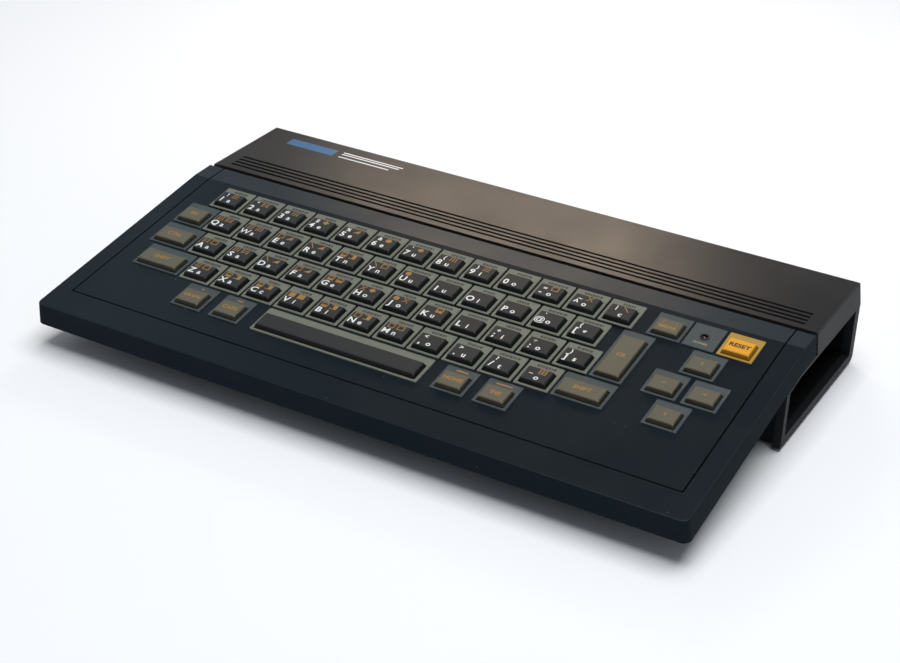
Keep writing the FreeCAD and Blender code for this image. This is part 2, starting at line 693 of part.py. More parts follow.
def make_mat():
    """Rubber mat with one dome for each key, drawn at pressed height."""
    sheet = flat_block(sheet_rect(STACK_MARGIN), MAT_FOOT_N, MAT_TOP_N)
    domes = []
    for x, v in dome_centres():
        height = DOME_TOP_N - MAT_TOP_N
        domes.append(Part.makeCone(DOME_FOOT_RADIUS, DOME_TOP_RADIUS, height, Vec(x, v, MAT_TOP_N)))
    hole_radius = SCREW_RADIUS + 3 * SCREW_PLAY
    holes = [post(x, v, MAT_FOOT_N - 1, MAT_TOP_N + 1, hole_radius) for x, v in KEYBOARD_SCREWS]
    x, v = LAMP_CENTRE
    holes.append(post(x, v, MAT_FOOT_N - 1, MAT_TOP_N + 1, LAMP_FOOT[0] + 3 * SCREW_PLAY))
    return on_deck(cut_all(fuse_all([sheet] + domes), holes))


def make_contact_board():
    """Printed board under the mat."""
    sheet = flat_block(sheet_rect(STACK_MARGIN), CONTACT_FOOT_N, CONTACT_TOP_N)
    reach = SCREW_RADIUS + 3 * SCREW_PLAY
    holes = [post(x, v, CONTACT_FOOT_N - 1, CONTACT_TOP_N + 1, reach) for x, v in KEYBOARD_SCREWS]
    return on_deck(cut_all(sheet, holes))


def make_keyboard_screws():
    """Small screws that hold board, mat and plates under the panel."""
    screws = []
    head_radius, head_height = SCREW_HEAD
    for x, v in KEYBOARD_SCREWS:
        head = post(x, v, CONTACT_FOOT_N - head_height, CONTACT_FOOT_N, head_radius)
        screws.append(on_deck(head.fuse(post(x, v, CONTACT_FOOT_N - 0.5, SCREW_TIP_N, SCREW_RADIUS))))
    return Part.makeCompound(screws)


def make_lamp_ring():
    """Black ring around the power lamp."""
    x, v = LAMP_CENTRE
    tube = post(x, v, SHEET_FOOT_N, LAMP_RING_TOP_N, LAMP_RING_RADIUS)
    bore = post(x, v, SHEET_FOOT_N - 1, LAMP_RING_TOP_N + 1, LAMP_RING_RADIUS - LAMP_RING_WALL)
    return on_deck(tube.cut(bore))


def make_power_lamp():
    """Round lamp standing on the contact board."""
    x, v = LAMP_CENTRE
    foot_radius, foot_height = LAMP_FOOT
    body = post(x, v, CONTACT_TOP_N, LAMP_TOP_N - LAMP_RADIUS, LAMP_RADIUS)
    foot = post(x, v, CONTACT_TOP_N, CONTACT_TOP_N + foot_height, foot_radius)
    dome = Part.makeSphere(LAMP_RADIUS, Vec(x, v, LAMP_TOP_N - LAMP_RADIUS))
    return on_deck(fuse_all([body, foot, dome]))


def make_deck_frame():
    """Front top case: lip, side walls and the border around the panel."""
    profile = [
        (FRONT_Y, deck_z(FRONT_Y)),
        (BEND_Y, BEND_Z),
        (FACET_END_Y, FACET_END_Z),
        (FACET_END_Y, UNDER_LEVEL_Z),
        (UNDER_BEND_Y, UNDER_LEVEL_Z),
        (LIP_FOOT_Y, LIP_FOOT_Z),
    ]
    body = prism(profile, -HALF_WIDTH, HALF_WIDTH)
    body = draft_sides(body, DECK_DRAFT, DECK_ANGLE + 0.7, LIP_FOOT_Y, LIP_FOOT_Z)
    corners = [
        edge for edge in body.Edges
        if edge.BoundBox.YMax < LIP_FOOT_Y + LIP_LEAN and edge.BoundBox.ZLength > LIP_HEIGHT / 2
    ]
    body = body.makeFillet(LIP_CORNER, corners)
    rim = [
        edge for edge in body.Edges
        if edge.BoundBox.ZMin > deck_z(edge.BoundBox.YMin) - 0.3 and edge.BoundBox.YMin < FACET_END_Y - 1
        and abs(edge.BoundBox.ZMax - deck_z(edge.BoundBox.YMax)) < 0.3 and edge.BoundBox.XLength < HALF_WIDTH
        and max(abs(edge.BoundBox.XMin), abs(edge.BoundBox.XMax)) > HALF_WIDTH - 2 * LIP_CORNER
    ]
    front = [
        edge for edge in body.Edges
        if edge.BoundBox.YMax < FRONT_Y + 0.5 and edge.BoundBox.XLength > HALF_WIDTH
        and edge.BoundBox.ZMin > deck_z(FRONT_Y) - 1
    ]
    body = body.makeFillet(TOP_EDGE, rim + front)
    inner_half = HALF_WIDTH - SIDE_WALL
    cavity_front_y = FRONT_Y + SHELL_WALL + 0.2
    depth = -SHELL_WALL
    cavity = prism(
        [
            (cavity_front_y, deck_z(cavity_front_y, depth)),
            (bend_y(depth), deck_z(bend_y(depth), depth)),
            (FACET_END_Y + 5, deck_z(FACET_END_Y + 5, depth)),
            (FACET_END_Y + 5, 0),
            (cavity_front_y + 1.2, 0),
        ],
        -inner_half,
        inner_half,
    )
    opening = PANEL_HALF_WIDTH + PANEL_GROOVE
    front_y = PANEL_FRONT_Y - PANEL_GROOVE
    rebate = bent_slab(-opening, opening, front_y, FACET_END_Y + 5, 5, -PANEL_THICKNESS - SHEET_GAP / 2)
    ledge_top = -PANEL_THICKNESS - SHEET_GAP / 2
    ledge_foot = ledge_top - LEDGE_THICKNESS
    ledge_outer = opening + LEDGE_ROOT
    ledge = bent_slab(-ledge_outer, ledge_outer, front_y - LEDGE_ROOT, FACET_END_Y, ledge_top, ledge_foot)
    window_half = opening - LEDGE_WIDTH
    below = -2 * LIP_HEIGHT
    window = bent_slab(-window_half, window_half, front_y + LEDGE_WIDTH, FACET_END_Y + 5, 5, below)
    bosses = []
    pilots = []
    for x, y in DECK_SCREWS:
        seat = under_z(y) + SLAB_TRAY_RECESS + TRAY_BOSS[1] + SCREW_PLAY
        bosses.append(post(x, y, seat, deck_z(y, depth) + 0.6, DECK_BOSS_RADIUS))
        tip = under_z(y) + SLAB_TRAY_RECESS + DECK_SCREW_SEAT + CASE_SCREW_SHAFT[1]
        pilots.append(post(x, y, seat - 1, tip + CASE_SCREW_TIP_SPARE, CASE_SCREW_SHAFT[0] + CASE_SCREW_PLAY))
    shell = fuse_all([body.cut(cavity), ledge] + bosses)
    return cut_all(shell, [rebate, window] + pilots)


def make_rear_cover():
    """Rear top case with its vent slots and the tray that floors the channel."""
    rear_top_y = REAR_Y - COVER_REAR_INSET
    profile = [
        (COVER_FRONT_Y, PARTING_Z),
        (COVER_FRONT_Y, COVER_FRONT_Z),
        (rear_top_y, HEIGHT),
        (REAR_Y, PARTING_Z),
    ]
    body = draft_sides(prism(profile, -HALF_WIDTH, HALF_WIDTH), COVER_DRAFT, 0.0, 0.0, PARTING_Z)
    soft = [
        edge for edge in body.Edges
        if edge.BoundBox.ZMin > COVER_FRONT_Z - 0.1
        and (edge.BoundBox.YLength > COVER_EDGE * 4 or edge.BoundBox.YMin > rear_top_y - 0.5)
    ]
    body = body.makeFillet(COVER_EDGE, soft)
    wall = SHELL_WALL
    roof_front = (COVER_FRONT_Y + wall, COVER_FRONT_Z - wall)
    cavity = prism(
        [
            (COVER_FRONT_Y + wall, PARTING_Z - 5),
            roof_front,
            (rear_top_y - wall, HEIGHT - wall),
            (REAR_Y - wall - 0.2, PARTING_Z - 5),
        ],
        -HALF_WIDTH + SIDE_WALL,
        HALF_WIDTH - SIDE_WALL,
    )
    below_wall = box(
        -HALF_WIDTH + SIDE_WALL, HALF_WIDTH - SIDE_WALL,
        COVER_FRONT_Y - 1, COVER_FRONT_Y + wall + 1,
        PARTING_Z - 5, CHANNEL_FLOOR_Z - TRAY_THICKNESS,
    )
    tray_half = HALF_WIDTH - TRAY_SIDE_INSET
    tray_front_y = COVER_FRONT_Y - TRAY_REACH
    tray = box(
        -tray_half, tray_half, tray_front_y, COVER_FRONT_Y + wall,
        CHANNEL_FLOOR_Z - TRAY_THICKNESS, CHANNEL_FLOOR_Z,
    )
    pieces = [body.cut(cavity).cut(below_wall), tray]
    for side in (-1, 1):
        inner = side * (tray_half - TRAY_THICKNESS)
        outer = side * tray_half
        pieces.append(box(
            min(inner, outer), max(inner, outer), tray_front_y, COVER_FRONT_Y + wall + 2,
            PARTING_Z, CHANNEL_FLOOR_Z,
        ))
        reach = (side * (tray_half - TRAY_THICKNESS), side * (HALF_WIDTH - SIDE_WALL + 1))
        pieces.append(box(
            min(reach), max(reach), COVER_FRONT_Y + 0.3, COVER_FRONT_Y + wall + 2,
            PARTING_Z, CHANNEL_FLOOR_Z,
        ))
    for x, y in COVER_SCREWS:
        pieces.append(post(x, y, PARTING_Z, COVER_FRONT_Z - 1, COVER_BOSS_RADIUS))
    first_y = VENT_CENTRES[0] - 3
    last_y = VENT_CENTRES[-1] + 3
    rib_count = int(VENT_HALF_LENGTH * 2 / VENT_RIB_PITCH)
    ribs = []
    for index in range(rib_count + 1):
        x = -VENT_HALF_LENGTH + index * VENT_HALF_LENGTH * 2 / rib_count
        x0 = x - VENT_RIB_WIDTH / 2
        ribs.append(box(
            x0, x0 + VENT_RIB_WIDTH, first_y, last_y,
            COVER_FRONT_Z - wall - VENT_RIB_DEPTH, COVER_FRONT_Z - wall + 0.3,
        ))
    slots = []
    for y in VENT_CENTRES:
        slots.append(box(
            -VENT_HALF_LENGTH, VENT_HALF_LENGTH, y - VENT_WIDTH / 2, y + VENT_WIDTH / 2,
            COVER_FRONT_Z - wall - 0.4, HEIGHT + 1,
        ))
    pilots = [
        post(x, y, PARTING_Z - 1, PARTING_Z + 5, CASE_SCREW_SHAFT[0] + CASE_SCREW_PLAY / 2)
        for x, y in COVER_SCREWS
    ]
    return cut_all(fuse_all(pieces + ribs), slots + pilots)


def end_profile():
    """Side profile of the end frames."""
    return [
        (END_FRAME_FRONT_Y, FOOT_HEIGHT),
        (END_FRAME_FRONT_Y, under_z(END_FRAME_FRONT_Y) - SEAM),
        (UNDER_BEND_Y, CASE_TOP_Z),
        (REAR_Y, CASE_TOP_Z),
        (REAR_Y, FOOT_HEIGHT),
    ]


def make_bottom_case():
    """Bottom case: end frames, deep box, keel and the tray under the slab."""
    solid = [box(-BOX_HALF_WIDTH, BOX_HALF_WIDTH, BOX_FRONT_Y, BOX_REAR_Y, FOOT_HEIGHT, CASE_TOP_Z)]
    for x0 in (-HALF_WIDTH, HALF_WIDTH - END_FRAME):
        frame = prism(end_profile(), x0, x0 + END_FRAME)
        corner = [
            edge for edge in frame.Edges
            if edge.BoundBox.YMin > REAR_Y - 0.1 and edge.BoundBox.ZMax < FOOT_HEIGHT + 0.1
        ]
        solid.append(frame.makeFillet(END_CORNER, corner))
    recess = SLAB_TRAY_RECESS
    rise = SLAB_TRAY_RECESS + SLAB_TRAY_THICKNESS
    tray_half = HALF_WIDTH - SIDE_WALL - SLAB_TRAY_GAP
    tray_front = SLAB_TRAY_FRONT_Y
    tray = prism(
        [
            (tray_front, under_z(tray_front) + recess),
            (tray_front, under_z(tray_front) + rise),
            (BOX_FRONT_Y + 1, under_z(BOX_FRONT_Y + 1) + rise),
            (BOX_FRONT_Y + 1, under_z(BOX_FRONT_Y + 1) + recess),
        ],
        -tray_half,
        tray_half,
    )
    keel = prism(
        [
            (KEEL_TOP_Y, under_z(KEEL_TOP_Y) + 1),
            (BOX_FRONT_Y + 1, under_z(BOX_FRONT_Y + 1) + 1),
            (BOX_FRONT_Y + 1, FOOT_HEIGHT),
            (KEEL_FOOT_Y, FOOT_HEIGHT),
        ],
        -KEEL_HALF_WIDTH,
        KEEL_HALF_WIDTH,
    )
    solid += [tray, keel]
    for x, y in DECK_SCREWS:
        seat = under_z(y) + recess
        solid.append(post(x, y, seat + 0.7, seat + TRAY_BOSS[1], TRAY_BOSS[0]))
    wall = SHELL_WALL
    inner_half = BOX_HALF_WIDTH - wall
    keel_inner = KEEL_HALF_WIDTH - wall
    hollows = [
        box(-inner_half, inner_half, BOX_FRONT_Y + wall, BOX_REAR_Y - wall, FLOOR_TOP_Z, CASE_TOP_Z + 10),
        prism(
            [
                (KEEL_TOP_Y + wall, CASE_TOP_Z + 10),
                (KEEL_TOP_Y + wall, under_z(KEEL_TOP_Y) + 1),
                (KEEL_FOOT_Y + wall - 0.4, FLOOR_TOP_Z),
                (BOX_FRONT_Y + wall + 1, FLOOR_TOP_Z),
                (BOX_FRONT_Y + wall + 1, CASE_TOP_Z + 10),
            ],
            -keel_inner,
            keel_inner,
        ),
        prism(
            [
                (BAY_Y[0], BAY_Z[0]),
                (BAY_Y[1], BAY_Z[0]),
                (BAY_Y[1], BAY_Z[1]),
                (BAY_TOP_BEND_Y, BAY_Z[1]),
                (BAY_Y[0], under_z(BAY_Y[0]) - SEAM - BAY_FRONT_RAIL),
            ],
            BOX_HALF_WIDTH,
            HALF_WIDTH + 1,
        ),
        box(
            inner_half - 1, BOX_HALF_WIDTH,
            LINER_Y[0] - LINER_WALL - LINER_GAP, LINER_Y[1] + LINER_WALL + LINER_GAP,
            LINER_Z[0] - LINER_WALL - LINER_GAP, LINER_Z[1] + LINER_WALL + LINER_GAP,
        ),
    ]
    vent_width, vent_length = FLOOR_VENT
    for x in FLOOR_VENT_XS:
        rect = (x - vent_width / 2, x + vent_width / 2, FLOOR_VENT_Y, FLOOR_VENT_Y + vent_length)
        hollows.append(rounded_block(rect, 0, FLOOR_TOP_Z + 0.5, vent_width / 2 - 0.01))
    hollows += rear_openings()
    shell = cut_all(fuse_all(solid), hollows)
    posts = []
    bores = []
    for x, y in BOARD_POSTS:
        posts.append(post(x, y, FLOOR_TOP_Z - 0.5, BOARD_Z, BOARD_POST_RADIUS))
        bores.append(post(x, y, FLOOR_TOP_Z + 0.5, BOARD_Z + 1, BOARD_SCREW[2] + SCREW_PLAY))
    for x, y in COVER_SCREWS:
        posts.append(post(x, y, FLOOR_TOP_Z - 0.5, CASE_TOP_Z, COVER_POST_RADIUS))
        bores.append(post(x, y, 0, COVER_SCREW_SEAT_Z, CASE_SCREW_HEAD[0] + 3 * CASE_SCREW_PLAY))
        bores.append(post(x, y, 0, CASE_TOP_Z + 1, CASE_SCREW_SHAFT[0] + CASE_SCREW_PLAY))
    for x, y in DECK_SCREWS:
        seat = under_z(y) + recess
        bores.append(post(x, y, seat - 2, seat + DECK_SCREW_SEAT, CASE_SCREW_HEAD[0] + 3 * CASE_SCREW_PLAY))
        bores.append(post(x, y, seat - 2, seat + TRAY_BOSS[1] + 1, CASE_SCREW_SHAFT[0] + CASE_SCREW_PLAY))
    return cut_all(fuse_all([shell] + posts), bores)


def rear_openings():
    """Openings in the rear wall for the sockets and the switch lever."""
    y0 = BOX_REAR_Y - SHELL_WALL - 1
    y1 = BOX_REAR_Y + 1
    openings = []
    shell_width, shell_height = JOYSTICK_SHELL
    for x in JOYSTICK_XS:
        openings.append(box(
            x - shell_width / 2 - SOCKET_PLAY, x + shell_width / 2 + SOCKET_PLAY, y0, y1,
            SOCKET_Z - shell_height / 2 - SOCKET_PLAY, SOCKET_Z + shell_height / 2 + SOCKET_PLAY,
        ))
    for x in DIN_XS:
        openings.append(rod_y(x, SOCKET_Z, y0, y1, DIN_RADIUS + SOCKET_PLAY))
    for x in CASSETTE_XS:
        openings.append(rod_y(x, SOCKET_Z, y0, y1, CASSETTE_RADIUS + SOCKET_PLAY))
    openings.append(rod_y(sum(MODULATOR_X) / 2, SOCKET_Z, y0, y1, AERIAL_RADIUS + SOCKET_PLAY))
    openings.append(rod_y(POWER_JACK_X, SOCKET_Z, y0, y1, POWER_JACK_RADIUS + SOCKET_PLAY))
    width, height = LEVER_SIZE
    reach = width / 2 + SWITCH_TRAVEL / 2 + SOCKET_PLAY
    openings.append(box(
        SWITCH_X - reach, SWITCH_X + reach, y0, y1,
        SOCKET_Z - height / 2 - SOCKET_PLAY, SOCKET_Z + height / 2 + SOCKET_PLAY,
    ))
    return openings


def make_bay_liner():
    """Box that lines the cartridge bay, open to the right, with a window for the slot."""
    x1 = BOX_HALF_WIDTH
    x0 = LINER_END_X
    outer = box(
        x0 - LINER_WALL, x1, LINER_Y[0] - LINER_WALL, LINER_Y[1] + LINER_WALL,
        LINER_Z[0] - LINER_WALL, LINER_Z[1] + LINER_WALL,
    )
    inner = box(x0, x1 + 1, LINER_Y[0], LINER_Y[1], LINER_Z[0], LINER_Z[1])
    window = box(
        x0 - LINER_WALL - 1, x0 + 1, SLOT_Y[0] - SLOT_WINDOW_GAP, SLOT_Y[1] + SLOT_WINDOW_GAP,
        PART_BASE_Z - SLOT_WINDOW_GAP, SLOT_TOP_Z + SLOT_WINDOW_GAP,
    )
    return cut_all(outer, [inner, window])


def make_cartridge_slot():
    """Edge connector at the end of the bay."""
    x0, x1 = SLOT_X
    y0, y1 = SLOT_Y
    gap, depth = SLOT_MOUTH
    middle = (PART_BASE_Z + SLOT_TOP_Z) / 2
    body = box(x0, x1, y0, y1, PART_BASE_Z, SLOT_TOP_Z)
    mouth = box(x1 - depth, x1 + 1, y0 + 3, y1 - 3, middle - gap / 2, middle + gap / 2)
    return body.cut(mouth)


def make_main_board():
    """Main printed board with clearance for posts and board screws."""
    board = fuse_all([
        box(BOARD_X[0], BOARD_X[1], BOARD_Y[0], BOARD_Y[1], BOARD_Z, BOARD_TOP_Z),
        box(BOARD_FRONT_X[0], BOARD_FRONT_X[1], BOARD_FRONT_Y, BOARD_Y[0] + 1, BOARD_Z, BOARD_TOP_Z),
    ])
    holes = [post(x, y, 0, 20, BOARD_SCREW[2] + SCREW_PLAY) for x, y in BOARD_POSTS]
    holes += [post(x, y, 0, 20, COVER_POST_RADIUS + 0.5) for x, y in COVER_SCREWS]
    return cut_all(board, holes)


def make_board_screws():
    """Screws of the main board."""
    head_radius, head_height, radius, length = BOARD_SCREW
    screws = []
    for x, y in BOARD_POSTS:
        head = post(x, y, BOARD_TOP_Z, BOARD_TOP_Z + head_height, head_radius)
        screws.append(head.fuse(post(x, y, BOARD_TOP_Z - length, BOARD_TOP_Z + 0.5, radius)))
    return Part.makeCompound(screws)


def chip(x, y, size):
    """Flat package with two rows of legs."""
    length, width, height = size
    z0 = BOARD_TOP_Z + CHIP_LEG_DROP
    pieces = [box(x - length / 2, x + length / 2, y - width / 2, y + width / 2, z0, z0 + height)]
    count = int((length - 1) / CHIP_LEG_PITCH) + 1
    start = x - CHIP_LEG_PITCH * (count - 1) / 2
    for index in range(count):
        leg_x = start + index * CHIP_LEG_PITCH - CHIP_LEG_WIDTH / 2
        for side in (-1, 1):
            edge_y = y + side * width / 2
            pieces.append(box(
                leg_x, leg_x + CHIP_LEG_WIDTH, edge_y - CHIP_LEG_WIDTH, edge_y + CHIP_LEG_WIDTH,
                BOARD_TOP_Z, z0 + height / 2,
            ))
    return fuse_all(pieces)


def make_logic_chips():
    """The three large chips."""
    return Part.makeCompound([chip(x, y, CHIP_BODY) for x, y in CHIP_CENTRES])


def make_memory_chips():
    """The row of memory chips, set across the board."""
    chips = []
    for x in MEMORY_XS:
        piece = chip(0, 0, MEMORY_BODY)
        piece.rotate(Vec(0, 0, 0), Vec(0, 0, 1), 90)
        piece.translate(Vec(x, MEMORY_ROW_Y, 0))
        chips.append(piece)
    return Part.makeCompound(chips)


def make_joystick_ports():
    """Two nine-pin sockets with shell, flange and pins."""
    shell_width, shell_height = JOYSTICK_SHELL
    flange_width, flange_height = JOYSTICK_FLANGE
    wall_y = SOCKET_WALL_Y
    ports = []
    for x in JOYSTICK_XS:
        body = box(
            x - flange_width / 2, x + flange_width / 2, SOCKET_BODY_Y, wall_y,
            SOCKET_Z - flange_height / 2, SOCKET_Z + flange_height / 2,
        )
        legs = box(x - 8, x + 8, SOCKET_BODY_Y, SOCKET_BODY_Y + 4, PART_BASE_Z, SOCKET_Z)
        shell = box(
            x - shell_width / 2, x + shell_width / 2, wall_y - 1, SOCKET_END_Y,
            SOCKET_Z - shell_height / 2, SOCKET_Z + shell_height / 2,
        )
        hollow = box(
            x - shell_width / 2 + 0.6, x + shell_width / 2 - 0.6, wall_y - 0.5, SOCKET_END_Y + 1,
            SOCKET_Z - shell_height / 2 + 0.6, SOCKET_Z + shell_height / 2 - 0.6,
        )
        port = cut_all(fuse_all([body, legs, shell]), [hollow])
        pins = []
        for row, count in ((1, 5), (-1, 4)):
            for index in range(count):
                pin_x = x + (index - (count - 1) / 2) * 2.77
                pin_z = SOCKET_Z + row * 1.42
                pins.append(rod_y(pin_x, pin_z, wall_y - 1, SOCKET_END_Y - 0.8, JOYSTICK_PIN_RADIUS))
        ports.append(fuse_all([port] + pins))
    return Part.makeCompound(ports)


def make_din_sockets():
    """Round sockets for picture and printer."""
    sockets = []
    for x in DIN_XS:
        body = rod_y(x, SOCKET_Z, SOCKET_BODY_Y, SOCKET_END_Y, DIN_RADIUS)
        legs = box(x - 5, x + 5, SOCKET_BODY_Y, SOCKET_BODY_Y + 6, PART_BASE_Z, SOCKET_Z)
        holes = []
        for step in range(5):
            angle = math.radians(45 * step)
            pin_x = x + DIN_PIN_CIRCLE * math.cos(angle)
            pin_z = SOCKET_Z + DIN_PIN_CIRCLE * math.sin(angle)
            holes.append(rod_y(pin_x, pin_z, SOCKET_END_Y - 5, SOCKET_END_Y + 1, 0.8))
        groove = rod_y(x, SOCKET_Z, SOCKET_END_Y - 1.2, SOCKET_END_Y + 1, DIN_RADIUS - 0.8)
        core = rod_y(x, SOCKET_Z, SOCKET_END_Y - 1.4, SOCKET_END_Y - 0.2, DIN_RADIUS - 1.5)
        sockets.append(cut_all(fuse_all([body.cut(groove), core, legs]), holes))
    return Part.makeCompound(sockets)


def make_cassette_jacks():
    """Two small round jacks for the tape recorder."""
    jacks = []
    for x in CASSETTE_XS:
        wall_y = SOCKET_WALL_Y
        body = box(x - 4.5, x + 4.5, SOCKET_BODY_Y, wall_y, PART_BASE_Z, SOCKET_Z + 4.5)
        nose = rod_y(x, SOCKET_Z, wall_y - 1, SOCKET_END_Y - 0.8, CASSETTE_RADIUS)
        bore = rod_y(x, SOCKET_Z, SOCKET_BODY_Y + 3, SOCKET_END_Y + 1, CASSETTE_BORE)
        jacks.append(body.fuse(nose).cut(bore))
    return Part.makeCompound(jacks)


def make_modulator():
    """Screened box of the television output with its round socket."""
    body = box(MODULATOR_X[0], MODULATOR_X[1], MODULATOR_Y[0], MODULATOR_Y[1], PART_BASE_Z, MODULATOR_TOP_Z)
    x = sum(MODULATOR_X) / 2
    nose = rod_y(x, SOCKET_Z, MODULATOR_Y[1] - 1, SOCKET_END_Y, AERIAL_RADIUS)
    bore = rod_y(x, SOCKET_Z, MODULATOR_Y[1] + 1, SOCKET_END_Y + 1, AERIAL_RADIUS - 0.8)
    core = rod_y(x, SOCKET_Z, MODULATOR_Y[1], SOCKET_END_Y - 0.8, 2.4)
    mouth = rod_y(x, SOCKET_Z, MODULATOR_Y[1] + 1, SOCKET_END_Y + 1, 1.5)
    return body.fuse(nose).cut(bore).fuse(core).cut(mouth)


def make_power_jack():
    """Socket of the power adaptor."""
    width, height = POWER_JACK_BODY
    wall_y = SOCKET_WALL_Y
    body = box(
        POWER_JACK_X - width / 2, POWER_JACK_X + width / 2, SOCKET_BODY_Y - 2, wall_y,
        PART_BASE_Z, SOCKET_Z + height / 2,
    )
    nose = rod_y(POWER_JACK_X, SOCKET_Z, wall_y - 1, SOCKET_END_Y - 0.8, POWER_JACK_RADIUS)
    bore = rod_y(POWER_JACK_X, SOCKET_Z, SOCKET_BODY_Y + 2, SOCKET_END_Y + 1, POWER_JACK_BORE)
    pin = rod_y(POWER_JACK_X, SOCKET_Z, SOCKET_BODY_Y, SOCKET_END_Y - 2, 1.0)
    return body.fuse(nose).cut(bore).fuse(pin)


def make_power_switch():
    """Body of the slide switch with the track of its lever."""
    width, height = SWITCH_BODY
    wall_y = SOCKET_WALL_Y
    body = box(
        SWITCH_X - width / 2, SWITCH_X + width / 2, SOCKET_BODY_Y, wall_y,
        SOCKET_Z - height / 2, SOCKET_Z + height / 2,
    )
    legs = box(SWITCH_X - 6, SWITCH_X + 6, SOCKET_BODY_Y, SOCKET_BODY_Y + 5, PART_BASE_Z, SOCKET_Z)
    lever_width, lever_height = LEVER_SIZE
    reach = lever_width / 2 + SWITCH_TRAVEL / 2 + LEVER_PLAY
    track = box(
        SWITCH_X - reach, SWITCH_X + reach, wall_y - 4, wall_y + 1,
        SOCKET_Z - lever_height / 2 - LEVER_PLAY, SOCKET_Z + lever_height / 2 + LEVER_PLAY,
    )
    return cut_all(fuse_all([body, legs]), [track])


def make_power_lever():
    """Lever of the slide switch, drawn in the off position."""
    width, height = LEVER_SIZE
    x = SWITCH_X - SWITCH_TRAVEL / 2
    wall_y = SOCKET_WALL_Y
    lever = box(
        x - width / 2, x + width / 2, wall_y - 4 + LEVER_PLAY, SOCKET_END_Y,
        SOCKET_Z - height / 2, SOCKET_Z + height / 2,
    )
    grooves = []
    for offset in (-1.0, 0.0, 1.0):
        grooves.append(box(
            x + offset - 0.2, x + offset + 0.2, SOCKET_END_Y - 0.4, SOCKET_END_Y + 1,
            SOCKET_Z - height, SOCKET_Z + height,
        ))
    return cut_all(lever, grooves)


def make_heat_sink():
    """Upright cooling plate with fins on its back."""
    length, thickness, height = HEAT_SINK_SIZE
    fin_thickness, fin_depth = HEAT_SINK_FIN
    x0 = REGULATOR_X - length / 2
    pieces = [box(x0, x0 + length, HEAT_SINK_Y, HEAT_SINK_Y + thickness, PART_BASE_Z, PART_BASE_Z + height)]
    for index in range(HEAT_SINK_FIN_COUNT):
        fin_x = x0 + index * (length - fin_thickness) / (HEAT_SINK_FIN_COUNT - 1)
        pieces.append(box(
            fin_x, fin_x + fin_thickness, HEAT_SINK_Y + thickness / 2, HEAT_SINK_Y + thickness + fin_depth,
            PART_BASE_Z, PART_BASE_Z + height,
        ))
    return fuse_all(pieces)


def make_regulator():
    """Voltage regulator in front of its cooling plate."""
    width, depth, height = REGULATOR_SIZE
    z0 = PART_BASE_Z + 4
    y1 = HEAT_SINK_Y - SOLDER_GAP
    body = box(REGULATOR_X - width / 2, REGULATOR_X + width / 2, y1 - depth, y1, z0, z0 + 9)
    tab = box(REGULATOR_X - width / 2, REGULATOR_X + width / 2, y1 - 1.3, y1, z0 + 8, z0 + height)
    legs = [
        box(REGULATOR_X + dx - 0.4, REGULATOR_X + dx + 0.4, y1 - 2.8, y1 - 2.0, BOARD_TOP_Z, z0 + 1)
        for dx in (-2.54, 0.0, 2.54)
    ]
    hole = rod_y(REGULATOR_X, z0 + 12, y1 - 5, y1 + 1, 1.6)
    return fuse_all([body, tab] + legs).cut(hole)


def make_capacitors():
    """Upright capacitors of the supply."""
    cans = []
    for x, y in CAPACITOR_CENTRES:
        can = post(x, y, PART_BASE_Z, PART_BASE_Z + CAPACITOR_HEIGHT, CAPACITOR_RADIUS)
        rim = [edge for edge in can.Edges if edge.BoundBox.ZLength < 0.01]
        cans.append(can.makeFillet(0.6, rim))
    return Part.makeCompound(cans)


def strip(path, thickness, x0, x1):
    """Sheet of even thickness that follows a path of (y, z) points."""
    half = thickness / 2
    upper = []
    lower = []
    for index, (y, z) in enumerate(path):
        before = path[max(index - 1, 0)]
        after = path[min(index + 1, len(path) - 1)]
        dy = after[0] - before[0]
        dz = after[1] - before[1]
        length = math.hypot(dy, dz)
        upper.append((y - dz / length * half, z + dy / length * half))
        lower.append((y + dz / length * half, z - dy / length * half))
    return prism(upper + lower[::-1], x0, x1)


def ribbon_path():
    """Points (y, z) of the flat cable: along the contact board, over its edge and down to the main board."""
    def under_board(y):
        return BEND_Z + (y - BEND_Y) * SLOPE + CONTACT_FOOT_N / SLOPE_COS - RIBBON_GAP

    start_y = BEND_Y - 9.65
    edge_y = BEND_Y - 4.15
    edge_z = under_board(edge_y)
    return (
        (start_y, under_board(start_y)),
        (edge_y, edge_z),
        (edge_y + 5.5, edge_z - 1.2),
        (edge_y + 8.5, edge_z - 5.0),
        (edge_y + 8.5, BOARD_TOP_Z + RIBBON_SOCKET_HEIGHT / 2),
    )


def make_ribbon():
    """Flat cable from the contact board to the main board."""
    return strip(ribbon_path(), RIBBON_THICKNESS, *RIBBON_X)


def make_ribbon_socket():
    """Socket of the flat cable on the main board."""
    y, foot_z = ribbon_path()[-1]
    gap = RIBBON_THICKNESS / 2 + SOLDER_GAP
    side = gap + RIBBON_SOCKET_WALL
    body = box(
        RIBBON_X[0] - side, RIBBON_X[1] + side, y - side, y + side, PART_BASE_Z, RIBBON_SOCKET_TOP_Z
    )
    mouth = box(
        RIBBON_X[0] - SOLDER_GAP, RIBBON_X[1] + SOLDER_GAP, y - gap, y + gap,
        foot_z - SOLDER_GAP, RIBBON_SOCKET_TOP_Z + 1,
    )
    return body.cut(mouth)


def make_feet():
    """Rubber feet."""
    feet = []
    for x, y in FEET:
        foot = post(x, y, 0, FOOT_HEIGHT, FOOT_RADIUS)
        rim = [edge for edge in foot.Edges if edge.BoundBox.ZMax < 0.01]
        feet.append(foot.makeFillet(0.5, rim))
    return Part.makeCompound(feet)


def case_screw(x, y, seat_z):
    """Screw with its head under the seat."""
    head_radius, head_height = CASE_SCREW_HEAD
    radius, length = CASE_SCREW_SHAFT
    head = post(x, y, seat_z - head_height, seat_z, head_radius)
    return head.fuse(post(x, y, seat_z - 0.5, seat_z + length, radius))


